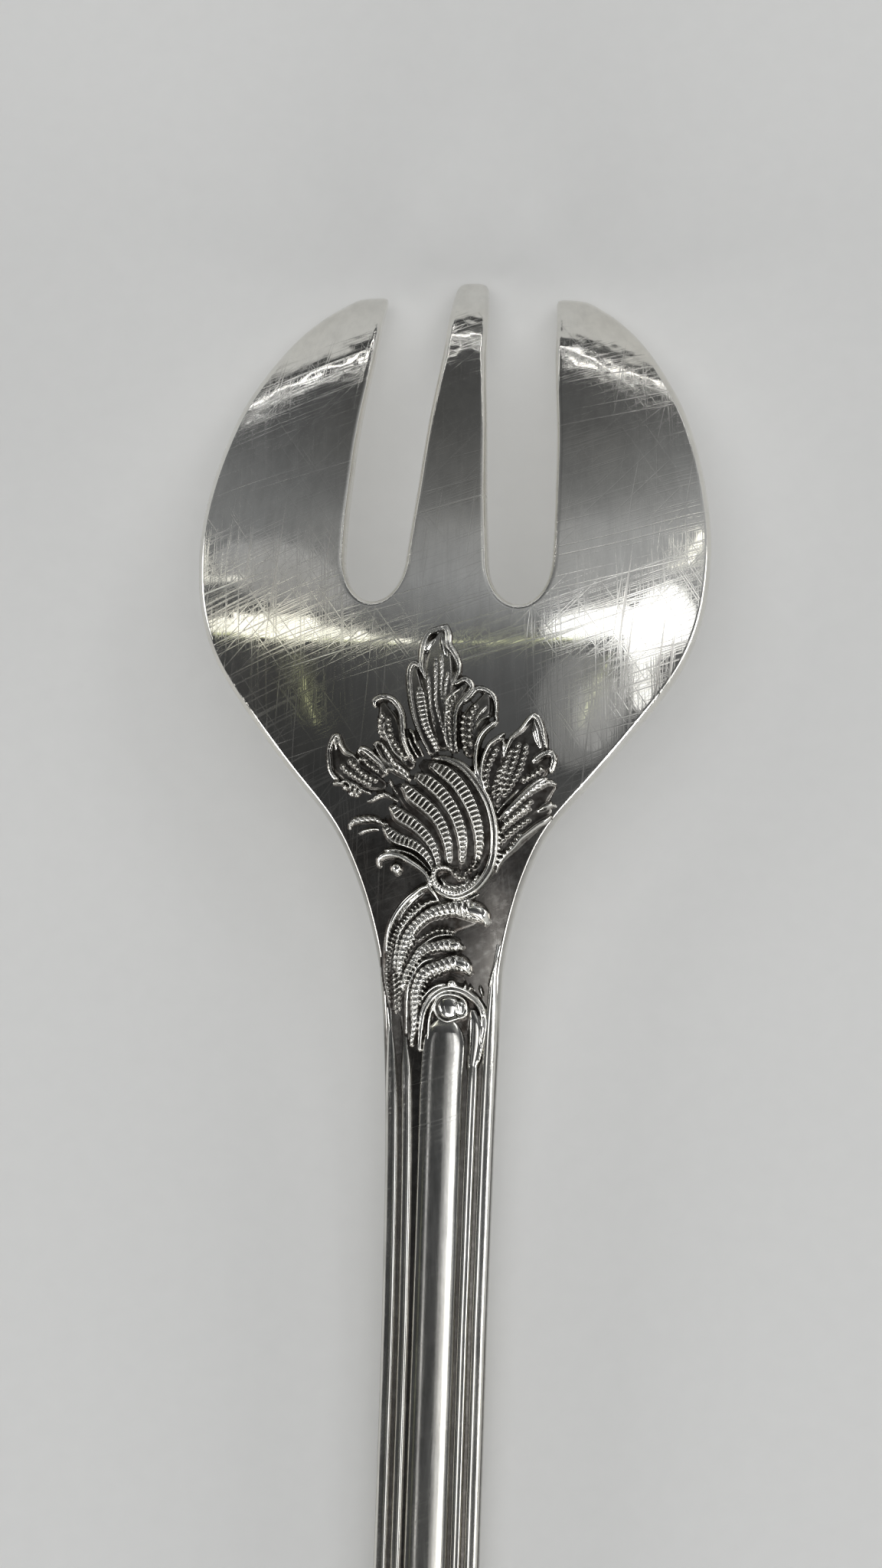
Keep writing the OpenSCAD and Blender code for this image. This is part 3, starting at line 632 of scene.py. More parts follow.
def build_threads(form, finish):
    """The four threads along the edges of the handle."""
    outer = form.edge_land + form.outer_thread / 2
    inner = form.edge_land + form.outer_thread + form.groove + form.inner_thread / 2
    start = ornament_start(form)
    outer_form = outer, form.outer_thread, OUTER_LEAN, OUTER_GROWTH
    inner_form = inner, form.inner_thread, INNER_LEAN, INNER_GROWTH
    for node, side, share, (inset, width, lean, growth) in (
            ("left_outer_thread", -1, LEFT_START_SHARE, outer_form),
            ("right_outer_thread", 1, RIGHT_START_SHARE, outer_form),
            ("left_inner_thread", -1, INNER_START_SHARE, inner_form),
            ("right_inner_thread", 1, INNER_START_SHARE, inner_form)):
        path, inward = edge_path(form, start + share * ORNAMENT_LENGTH, inset)
        grow = ease(np.arange(len(path)) / growth) ** 0.5
        path, inward = path * (side, 1), inward * (side, 1)
        half = width / 2 * np.maximum(grow, LEAST_WIDTH)
        height = form.thread_height * np.maximum(grow, LEAST_HEIGHT)
        piece = swept("silver_" + node, path, inward, half, height, round_section(lean), form)
        finish_piece(piece, finish["thread"], node)


def build_panel(form, finish):
    """The raised panel in the middle of the handle, with a round head and a pointed end."""
    inset = form.edge_land + form.outer_thread + 2 * form.groove + form.inner_thread
    start = ornament_start(form) + PANEL_START_SHARE * ORNAMENT_LENGTH
    finish_at = form.end_start + PANEL_END_SHARE * form.end_length
    u = np.concatenate([np.linspace(0, 1, 24)[:-1] ** 2 * HEAD_PART,
                        np.linspace(HEAD_PART, 1 - TAIL_PART, 120)[:-1],
                        1 - np.linspace(1, 0, 40) ** 2 * TAIL_PART])
    d = mix(start, finish_at, u)
    head = np.clip((d - start) / PANEL_HEAD, 0, 1)
    half = (form.half_stem - inset) * np.sqrt(1 - (1 - head) ** 2)
    # The far end draws in to a point, and the head rises out of the ground
    point = np.minimum(1, np.sqrt(np.clip((1 - u) * 12, 0.002, None)))
    half = np.maximum(half * point, PANEL_HALF)
    path = np.stack([curve(PANEL_LEAN, u), d], 1)
    across = np.tile([1.0, 0.0], (len(u), 1))
    height = form.thread_height * np.minimum(1, 0.3 + ease(u * 120) * 0.7)
    piece = swept("silver_panel", path, across, half, height, panel_section(), form)
    finish_piece(piece, finish["thread"], "panel")


# ---------------------------------------------------------------------------------------------
# Chased ornament: strokes of raised work, in millimetres across and along the fork

# Swelling along a stroke, in shares of its length and of its width
FULL = [(0, 1), (1, 1)]
EVEN = [(0, 0.6), (0.07, 1), (0.93, 1), (1, 0.6)]
TAPER = [(0, 0.55), (0.12, 1), (0.6, 0.82), (1, 0.35)]
SWELL = [(0, 0.3), (0.3, 1), (0.7, 0.92), (1, 0.4)]
BULB = [(0, 0.5), (0.07, 1), (0.2, 1.0), (0.34, 0.72), (0.7, 0.6), (1, 0.4)]
LEAF = [(0, 0.15), (0.2, 0.8), (0.4, 1), (0.75, 0.75), (1, 0.4)]
BASE_START = 19.5    # where the ornament began when its strokes were drawn
# Tarnish on the sunk faces of the leaves and between the strands
FACE_TARNISH = {"body": 0.92, "ground": 0.95}
CREST_TARNISH = 0.55  # what is left of it near the crest, where hands wipe the back
CREST_END_SHARE, CREST_FADE_SHARE = 0.5, 0.15   # where that ends, in shares of the head

# Each stroke: form of its section, half width, height, swelling, spacing of its marks, points
CREST_LEAF = [
    ("body", 0.82, 0.2, LEAF, 0, [(0, 19.75), (-0.05, 20.8), (-0.05, 22), (0.05, 23.4),
     (0.25, 25.3)]),
    ("double", 0.13, 0.4, EVEN, 0, [(0.17, 19.65), (-0.3, 19.82), (-0.62, 20), (-0.83, 20.45),
     (-0.9, 21), (-0.92, 21.6), (-0.83, 21.95)]),
    ("double", 0.17, 0.41, TAPER, 0, [(0.2, 19.6), (0.3, 20.05), (0.35, 20.5), (0.58, 20.85),
     (0.78, 21.2), (0.9, 21.6), (0.88, 21.95), (0.65, 22.4)]),
    ("ridge", 0.2, 0.33, SWELL, 0, [(-0.8, 20.95), (-0.6, 20.6), (-0.33, 20.25)]),
    ("ridge", 0.16, 0.34, SWELL, 0, [(0, 20.05), (0.1, 20.6), (0.32, 21.15)]),
    ("rope", 0.07, 0.36, TAPER, 0.27, [(-0.58, 22), (-0.5, 22.75), (-0.45, 23.2), (-0.4, 23.7),
     (-0.26, 24.1), (-0.15, 24.6)]),
    ("rope", 0.07, 0.36, TAPER, 0.27, [(-0.23, 21.25), (-0.2, 22), (-0.18, 22.5), (-0.18, 23.2),
     (-0.08, 23.65), (0.1, 24.25), (0.28, 24.85), (0.37, 25.2)]),
    ("rope", 0.07, 0.36, TAPER, 0.27, [(0.05, 21.05), (0.08, 22), (0.06, 22.55), (0.13, 23.2),
     (0.22, 23.8)]),
    ("rope", 0.07, 0.36, TAPER, 0.27, [(0.4, 21.9), (0.3, 22.5), (0.25, 23.1), (0.2, 23.6)]),
]
CREST_SIDE_LEAVES = [
    ("body", 0.4, 0.16, SWELL, 0, [(-1.25, 21.6), (-1.2, 22.4), (-1.02, 23.5), (-0.65, 24.8),
     (-0.25, 25.7)]),
    ("double", 0.11, 0.36, TAPER, 0, [(-0.74, 22.15), (-0.85, 21.85), (-1.05, 21.6),
     (-1.27, 21.47), (-1.45, 21.65), (-1.52, 22.05), (-1.47, 22.75), (-1.36, 23.4), (-1.2, 24.1),
     (-0.98, 24.7), (-0.72, 25.25), (-0.38, 25.85)]),
    ("ladder", 0.25, 0.33, TAPER, 0.21, [(-0.93, 22.7), (-0.87, 23.2), (-0.76, 23.75),
     (-0.64, 24.3), (-0.43, 24.8), (-0.18, 25.3), (-0.05, 25.65)]),
    ("body", 0.4, 0.15, SWELL, 0, [(1.3, 22.45), (0.85, 23), (0.62, 23.8), (0.6, 24.8),
     (0.7, 25.6)]),
    ("double", 0.13, 0.38, TAPER, 0, [(0.62, 22.45), (0.9, 22.35), (1.2, 22.2), (1.45, 22.35),
     (1.55, 22.6), (1.43, 22.85), (1.23, 23.1), (1, 23.4), (0.88, 23.65), (0.8, 24.1),
     (0.83, 24.55), (0.85, 25.15), (0.95, 25.7)]),
    ("strand", 0.085, 0.34, TAPER, 0, [(1.03, 22.65), (0.75, 22.87), (0.53, 23.05), (0.38, 23.3),
     (0.33, 23.85), (0.3, 24.3), (0.35, 25), (0.5, 25.45)]),
    ("beads", 0.125, 0.38, TAPER, 0.26, [(0.86, 22.95), (0.62, 23.3), (0.52, 23.65), (0.5, 24.1),
     (0.52, 24.55), (0.58, 25.05), (0.64, 25.6)]),
    ("body", 0.55, 0.16, SWELL, 0, [(2.3, 22.85), (2.1, 23.5), (1.75, 24.1), (1.5, 24.9),
     (1.5, 25.7)]),
    ("double", 0.12, 0.37, TAPER, 0, [(1.24, 23.29), (1.51, 23), (1.78, 22.67), (2.06, 22.64),
     (2.34, 22.75), (2.58, 22.93), (2.72, 23.21), (2.76, 23.53), (2.75, 23.86), (2.81, 24.14)]),
    ("strand", 0.14, 0.4, EVEN, 0, [(2.78, 24.2), (2.45, 24.45), (2.14, 24.77), (1.94, 25.18),
     (1.85, 25.65), (1.83, 26.1), (1.88, 26.6), (2.04, 27.05)]),
    ("beads", 0.146, 0.4, EVEN, 0.3, [(1.26, 23.85), (1.19, 24.2), (1.17, 24.5), (1.2, 24.87),
     (1.28, 25.38), (1.4, 25.75)]),
    ("beads", 0.134, 0.39, EVEN, 0.3, [(1.84, 23.37), (1.66, 23.7), (1.53, 24.1), (1.52, 24.5),
     (1.53, 24.97), (1.6, 25.43)]),
    ("strand", 0.07, 0.31, TAPER, 0, [(2.27, 23.5), (2.05, 23.75), (1.82, 24.1), (1.7, 24.4)]),
    ("strand", 0.08, 0.32, TAPER, 0, [(2.5, 23.92), (2.15, 24.08), (1.88, 24.37), (1.7, 24.78)]),
]
HOOK_LEAVES = [
    ("body", 0.52, 0.13, SWELL, 0, [(-2.75, 23.5), (-2.5, 24.2), (-2.3, 24.9), (-1.9, 25.7),
     (-1.35, 26.35)]),
    ("double", 0.14, 0.38, EVEN, 0, [(-3.14, 23.53), (-3.16, 23.36), (-2.98, 23.21),
     (-2.68, 23.15), (-2.43, 23.2), (-2.17, 23.37), (-1.94, 23.68), (-1.82, 24.03), (-1.77, 24.52),
     (-1.72, 24.96), (-1.61, 25.4), (-1.41, 25.84), (-1.21, 26.17)]),
    ("rope", 0.09, 0.34, TAPER, 0.3, [(-1.41, 24.7), (-1.21, 24.94), (-1.11, 25.28), (-0.9, 25.62),
     (-0.75, 25.9)]),
    ("strand", 0.08, 0.33, TAPER, 0, [(-1.46, 25.05), (-1.26, 25.53), (-1, 25.96)]),
    ("beads", 0.125, 0.33, EVEN, 0.26, [(-2.48, 24.08), (-2.45, 24.43), (-2.39, 24.72),
     (-2.33, 25.06), (-2.17, 25.3), (-1.99, 25.55), (-1.77, 25.84), (-1.51, 26.13)]),
    ("beads", 0.125, 0.32, TAPER, 0.26, [(-2.68, 23.92), (-2.83, 24.14), (-2.88, 24.48),
     (-2.87, 24.82), (-2.73, 25.16)]),
    ("strand", 0.06, 0.27, TAPER, 0, [(-2.63, 24.38), (-2.68, 24.67), (-2.55, 25.01),
     (-2.37, 25.35), (-2.17, 25.74), (-1.87, 26.03), (-1.56, 26.3)]),
    ("body", 0.36, 0.14, SWELL, 0, [(-3, 25.4), (-2.6, 25.95), (-2.1, 26.45), (-1.5, 26.95)]),
    ("rope", 0.14, 0.36, SWELL, 0.26, [(-3.16, 25.45), (-2.98, 25.33), (-2.78, 25.4),
     (-2.58, 25.65), (-2.32, 26.04), (-2.17, 26.28), (-1.87, 26.47), (-1.51, 26.76),
     (-1.41, 27.05)]),
    ("strand", 0.07, 0.28, TAPER, 0, [(-3.09, 25.5), (-2.83, 25.95), (-2.58, 26.24),
     (-2.17, 26.5)]),
    ("rope", 0.1, 0.32, SWELL, 0.27, [(-2.63, 26.6), (-2.17, 26.6), (-1.87, 26.7), (-1.56, 26.93),
     (-1.41, 27.13)]),
]
LEFT_LEAVES = [
    ("body", 0.62, 0.13, SWELL, 0, [(-5.15, 25.15), (-5, 26), (-4.4, 26.65), (-3.6, 27.05),
     (-2.8, 27.35)]),
    ("double", 0.1, 0.35, EVEN, 0, [(-4.97, 24.97), (-5.14, 25.04), (-5.32, 25.33), (-5.42, 25.68),
     (-5.42, 25.97), (-5.35, 26.6), (-5.17, 26.94), (-4.96, 27.08)]),
    ("ridge", 0.11, 0.32, SWELL, 0, [(-5.07, 25.1), (-5.09, 25.38), (-5.07, 25.66)]),
    ("strand", 0.12, 0.37, TAPER, 0, [(-4.96, 24.99), (-4.89, 25.28), (-4.76, 25.57),
     (-4.56, 25.81), (-4.25, 25.95), (-4.05, 26.1), (-3.95, 26.24)]),
    ("body", 0.4, 0.15, SWELL, 0, [(-3.85, 25.8), (-3.3, 26.2), (-2.75, 26.8)]),
    ("double", 0.18, 0.39, SWELL, 0, [(-3.95, 25.86), (-3.87, 25.69), (-3.7, 25.66), (-3.44, 25.8),
     (-3.14, 26.04), (-2.83, 26.33), (-2.63, 26.57), (-2.55, 26.78)]),
    ("beads", 0.125, 0.34, EVEN, 0.26, [(-3.95, 26.2), (-3.7, 26.1), (-3.49, 26.35), (-3.24, 26.5),
     (-2.98, 26.73)]),
    ("beads", 0.125, 0.32, EVEN, 0.26, [(-4.79, 26.38), (-4.63, 26.6), (-4.46, 26.74),
     (-4.2, 26.88), (-4, 27.04), (-3.7, 27.16), (-3.44, 27.27), (-3.29, 27.31)]),
    ("beads", 0.125, 0.31, EVEN, 0.26, [(-4.48, 26.23), (-4.28, 26.3), (-4.1, 26.49),
     (-3.85, 26.73), (-3.59, 26.9), (-3.29, 27.04), (-2.98, 27.15)]),
    ("rope", 0.09, 0.31, TAPER, 0.27, [(-5.19, 27.3), (-4.96, 27.27), (-4.76, 27.26),
     (-4.61, 27.16), (-4.41, 27.28), (-4.1, 27.37), (-3.85, 27.52), (-3.59, 27.66),
     (-3.34, 27.73)]),
    ("beads", 0.125, 0.31, EVEN, 0.26, [(-4.71, 27.55), (-4.51, 27.45), (-4.25, 27.5), (-4, 27.62),
     (-3.8, 27.64)]),
    ("beads", 0.125, 0.29, EVEN, 0.26, [(-4.41, 27.75), (-4.15, 27.77), (-3.9, 27.84)]),
    ("rope", 0.1, 0.33, SWELL, 0.25, [(-3.49, 28.14), (-3.24, 28.05), (-2.98, 27.88),
     (-2.68, 27.78), (-2.43, 27.85), (-2.17, 28), (-2.03, 28.08)]),
    ("rope", 0.16, 0.36, SWELL, 0.27, [(-4.41, 29.44), (-4.38, 29.24), (-4.2, 29.09),
     (-3.9, 29.01), (-3.54, 28.98), (-3.14, 28.98), (-2.83, 29.12), (-2.6, 29.2)]),
    ("strand", 0.06, 0.25, TAPER, 0, [(-3.92, 29.67), (-3.7, 29.55), (-3.31, 29.46),
     (-2.95, 29.45)]),
    ("strand", 0.05, 0.28, TAPER, 0, [(-2.37, 27.1), (-2.17, 27.5), (-2.02, 27.72)]),
]
RIGHT_LEAF = [
    ("body", 0.95, 0.14, LEAF, 0, [(4.6, 23.85), (4.5, 24.8), (4.05, 25.9), (3.4, 26.9),
     (2.85, 27.9)]),
    ("double", 0.13, 0.39, TAPER, 0, [(4.57, 23.76), (4.8, 24), (4.95, 24.3), (5.03, 24.65),
     (5.11, 25), (5.2, 25.33)]),
    ("ridge", 0.26, 0.33, SWELL, 0, [(4.6, 24), (4.72, 24.5), (4.8, 24.9), (4.92, 25.35)]),
    ("strand", 0.12, 0.37, TAPER, 0, [(4.57, 23.76), (4.39, 23.97), (4.18, 24.28), (3.98, 24.54),
     (3.73, 24.76), (3.48, 25.02), (3.33, 25.38), (3.19, 25.8)]),
    ("body", 0.45, 0.14, SWELL, 0, [(5.35, 25.85), (4.9, 26.4), (4.2, 27.1), (3.3, 28)]),
    ("double", 0.13, 0.37, EVEN, 0, [(4.62, 25.99), (4.87, 25.77), (5.13, 25.61), (5.38, 25.57),
     (5.54, 25.69), (5.56, 25.9), (5.49, 26.2), (5.43, 26.46)]),
    ("body", 0.5, 0.14, SWELL, 0, [(3, 25.1), (2.7, 25.9), (2.5, 26.8), (2.65, 27.6)]),
    ("strand", 0.11, 0.36, EVEN, 0, [(3.14, 24.78), (3.02, 24.88), (2.76, 25.07), (2.5, 25.31),
     (2.3, 25.67), (2.18, 26.03), (2.11, 26.49), (2.09, 26.9), (2.22, 27.25), (2.37, 27.6)]),
    ("ridge", 0.13, 0.33, SWELL, 0, [(3.12, 24.95), (3.17, 25.3), (3.17, 25.7)]),
    ("marks", 0.125, 0.33, EVEN, 0.27, [(2.88, 25.4), (2.73, 25.71), (2.52, 26.13), (2.37, 26.54),
     (2.32, 27), (2.42, 27.4)]),
    ("marks", 0.125, 0.33, EVEN, 0.27, [(3.29, 26.2), (3.03, 26.5), (2.88, 26.9), (2.73, 27.25),
     (2.7, 27.7)]),
    ("marks", 0.125, 0.33, EVEN, 0.27, [(3.6, 25.45), (3.44, 25.8), (3.29, 26.2), (3.2, 26.6),
     (3.05, 27), (2.98, 27.4), (2.9, 27.9)]),
    ("marks", 0.125, 0.33, EVEN, 0.28, [(3.9, 25.15), (3.85, 25.4), (3.7, 26), (3.5, 26.55),
     (3.29, 27.05), (3.09, 27.55)]),
    ("marks", 0.125, 0.33, EVEN, 0.28, [(4.21, 25.2), (4.21, 25.55), (4.1, 25.9), (3.95, 26.45),
     (3.7, 26.9), (3.44, 27.35), (3.19, 27.7)]),
    ("beads", 0.146, 0.36, EVEN, 0.26, [(5.08, 26.25), (4.87, 26.45), (4.67, 26.62), (4.47, 26.75),
     (4.24, 26.85), (4, 26.97)]),
    ("strand", 0.06, 0.28, TAPER, 0, [(3.9, 27.4), (3.6, 27.7), (3.29, 28), (2.98, 28.35),
     (2.8, 28.65)]),
    ("double", 0.16, 0.38, TAPER, 0, [(5.18, 26.8), (4.83, 27), (4.42, 27.35), (4, 27.75),
     (3.65, 28.1), (3.29, 28.45), (2.98, 28.8)]),
]
RIGHT_LOWER_LEAVES = [
    ("body", 0.6, 0.13, SWELL, 0, [(5.5, 27.2), (4.7, 27.8), (3.9, 28.5), (3.2, 29.2)]),
    ("rope", 0.13, 0.35, TAPER, 0.3, [(5.64, 27.03), (5.44, 26.97), (5.18, 27.02), (4.93, 27.19),
     (4.6, 27.38), (4.3, 27.64), (3.9, 28), (3.5, 28.42), (3.14, 28.87)]),
    ("ridge", 0.15, 0.36, SWELL, 0, [(5.67, 28.07), (5.44, 28.03), (5.18, 28.14), (4.86, 28.34)]),
    ("body", 0.6, 0.13, SWELL, 0, [(5.3, 28.3), (4.5, 28.8), (3.75, 29.5), (3.05, 30.6)]),
    ("strand", 0.14, 0.36, TAPER, 0, [(5.44, 28.59), (5.18, 28.8), (4.83, 29.02), (4.42, 29.35),
     (4, 29.7), (3.65, 30.15), (3.29, 30.5), (2.98, 30.95), (2.83, 31.3)]),
    ("marks", 0.125, 0.33, EVEN, 0.26, [(4.57, 27.83), (4.31, 28.1), (4, 28.37), (3.7, 28.64),
     (3.39, 28.9), (3.14, 29.2)]),
    ("marks", 0.125, 0.33, EVEN, 0.26, [(4.5, 28.2), (4.26, 28.35), (3.85, 28.63), (3.65, 28.85),
     (3.29, 29.12), (3.03, 29.5)]),
    ("marks", 0.125, 0.32, EVEN, 0.26, [(4.47, 28.72), (4.16, 28.95), (3.8, 29.2), (3.55, 29.4),
     (3.29, 29.65), (3.03, 29.9)]),
    ("marks", 0.125, 0.32, EVEN, 0.26, [(4.1, 29.4), (3.8, 29.8), (3.6, 30.03), (3.39, 30.3),
     (3.08, 30.6), (2.93, 30.9)]),
]
SHELL_FAN = [
    ("ground", 0.95, 0.05, SWELL, 0, [(-0.6, 26.4), (0.5, 27), (1.3, 27.9), (1.75, 28.9),
     (1.9, 29.9), (1.7, 30.9)]),
    ("ground", 0.95, 0.05, SWELL, 0, [(-1.9, 27.6), (-0.9, 28.2), (0, 29), (0.6, 30), (0.8, 31)]),
    ("ground", 0.6, 0.05, SWELL, 0, [(-2.5, 29), (-1.6, 29.5), (-0.8, 30.1), (-0.2, 30.9),
     (0, 31.4)]),
    ("rib", 0.4, 0.46, TAPER, 0.24, [(-0.2, 26.4), (0.35, 26.73), (0.85, 27.15), (1.26, 27.68),
     (1.58, 28.25), (1.8, 28.8), (1.95, 29.35), (2, 29.9), (1.98, 30.4), (1.86, 30.9)]),
    ("rib", 0.4, 0.46, TAPER, 0.24, [(-0.95, 26.95), (-0.45, 27.22), (0.05, 27.62), (0.45, 28.1),
     (0.8, 28.65), (1.02, 29.2), (1.14, 29.75), (1.18, 30.3), (1.15, 30.8)]),
    ("rib", 0.39, 0.46, TAPER, 0.24, [(-1.6, 27.45), (-1.2, 27.9), (-0.75, 28.22), (-0.3, 28.6),
     (0.05, 29.05), (0.28, 29.5), (0.42, 29.95), (0.5, 30.4), (0.52, 30.85)]),
    ("rib", 0.36, 0.45, TAPER, 0.23, [(-2.2, 28.45), (-1.85, 28.85), (-1.4, 29.1), (-0.98, 29.4),
     (-0.62, 29.75), (-0.32, 30.15), (-0.14, 30.55), (-0.04, 30.98)]),
    ("rib", 0.32, 0.44, TAPER, 0.22, [(-2.55, 29.45), (-2.2, 29.83), (-1.75, 30.02),
     (-1.35, 30.15), (-0.95, 30.35), (-0.62, 30.65), (-0.38, 31), (-0.28, 31.25)]),
    ("beads", 0.125, 0.35, TAPER, 0.26, [(1.9, 30.75), (1.75, 31.05), (1.55, 31.24), (1.34, 31.4),
     (1.28, 31.6)]),
]
FAN_SCROLL = [
    ("body", 0.75, 0.14, EVEN, 0, [(0.6, 31.85), (0.85, 31.85), (1.2, 31.75)]),
    ("double", 0.24, 0.46, [(0, 0.3), (0.1, 0.7), (0.25, 1), (0.75, 0.95), (1, 0.55)], 0,
     [(-0.2, 26.02), (0.15, 26.02), (0.5, 26.08), (0.83, 26.2), (1.14, 26.36), (1.45, 26.6),
     (1.76, 26.93), (2.06, 27.35), (2.32, 27.8), (2.52, 28.25), (2.65, 28.7), (2.73, 29.15),
     (2.75, 29.66), (2.73, 30.27), (2.63, 30.78), (2.47, 31.24), (2.2, 31.68), (1.85, 32.08),
     (1.4, 32.38), (0.9, 32.56), (0.4, 32.52), (0, 32.3), (-0.25, 32)]),
    ("rope", 0.17, 0.4, [(0, 0.7), (0.2, 1), (0.8, 1), (1, 0.5)], 0.16, [(0.62, 31.32),
     (0.4, 31.22), (0.12, 31.2), (-0.12, 31.3), (-0.24, 31.55), (-0.18, 31.88), (0.04, 32.13),
     (0.4, 32.3), (0.8, 32.36), (1.18, 32.28), (1.5, 32.1), (1.76, 31.82), (1.93, 31.5)]),
    ("rope", 0.09, 0.3, EVEN, 0.27, [(0.12, 31.7), (0.3, 31.98), (0.57, 32.1), (0.94, 32.1),
     (1.27, 32), (1.48, 31.8)]),
    ("beads", 0.125, 0.33, EVEN, 0.26, [(0.75, 31.4), (0.95, 31.6), (1.15, 31.7), (1.4, 31.6)]),
    ("beads", 0.125, 0.31, EVEN, 0.26, [(2.96, 29.3), (2.99, 29.7), (2.98, 30.2), (2.93, 30.8),
     (2.86, 31)]),
    ("strand", 0.08, 0.26, TAPER, 0, [(0.85, 32.82), (1.2, 32.76), (1.6, 32.62), (1.95, 32.42)]),
]
VOLUTE = [
    ("strand", 0.17, 0.4, [(0, 0.5), (0.2, 1), (0.75, 0.85), (1, 0.6)], 0, [(-2.93, 31.2),
     (-2.96, 31.04), (-2.91, 30.84), (-2.68, 30.7), (-2.38, 30.64), (-2.07, 30.67), (-1.77, 30.76),
     (-1.41, 30.95), (-1, 31.2), (-0.7, 31.44), (-0.5, 31.72), (-0.42, 32)]),
    ("strand", 0.07, 0.33, TAPER, 0, [(-2.63, 30.45), (-2.17, 30.42), (-1.71, 30.48),
     (-1.3, 30.62), (-0.95, 30.86), (-0.65, 31.14), (-0.42, 31.38)]),
    ("strand", 0.12, 0.34, TAPER, 0, [(-0.55, 32), (-0.38, 32.28), (-0.14, 32.58), (0.04, 32.86)]),
]
PLUME_EDGE = [
    ("strand", 0.17, 0.38, [(0, 0.7), (0.2, 1), (0.6, 0.95), (1, 0.3)], 0, [(-0.6, 32.14),
     (-0.85, 32.24), (-1.16, 32.47), (-1.54, 32.78), (-1.86, 33.12), (-2.13, 33.49), (-2.36, 33.9),
     (-2.52, 34.33), (-2.61, 34.82), (-2.67, 35.3)]),
    ("strand", 0.05, 0.27, TAPER, 0, [(-0.75, 32.42), (-1.1, 32.68), (-1.42, 32.98),
     (-1.75, 33.36), (-2, 33.76)]),
]
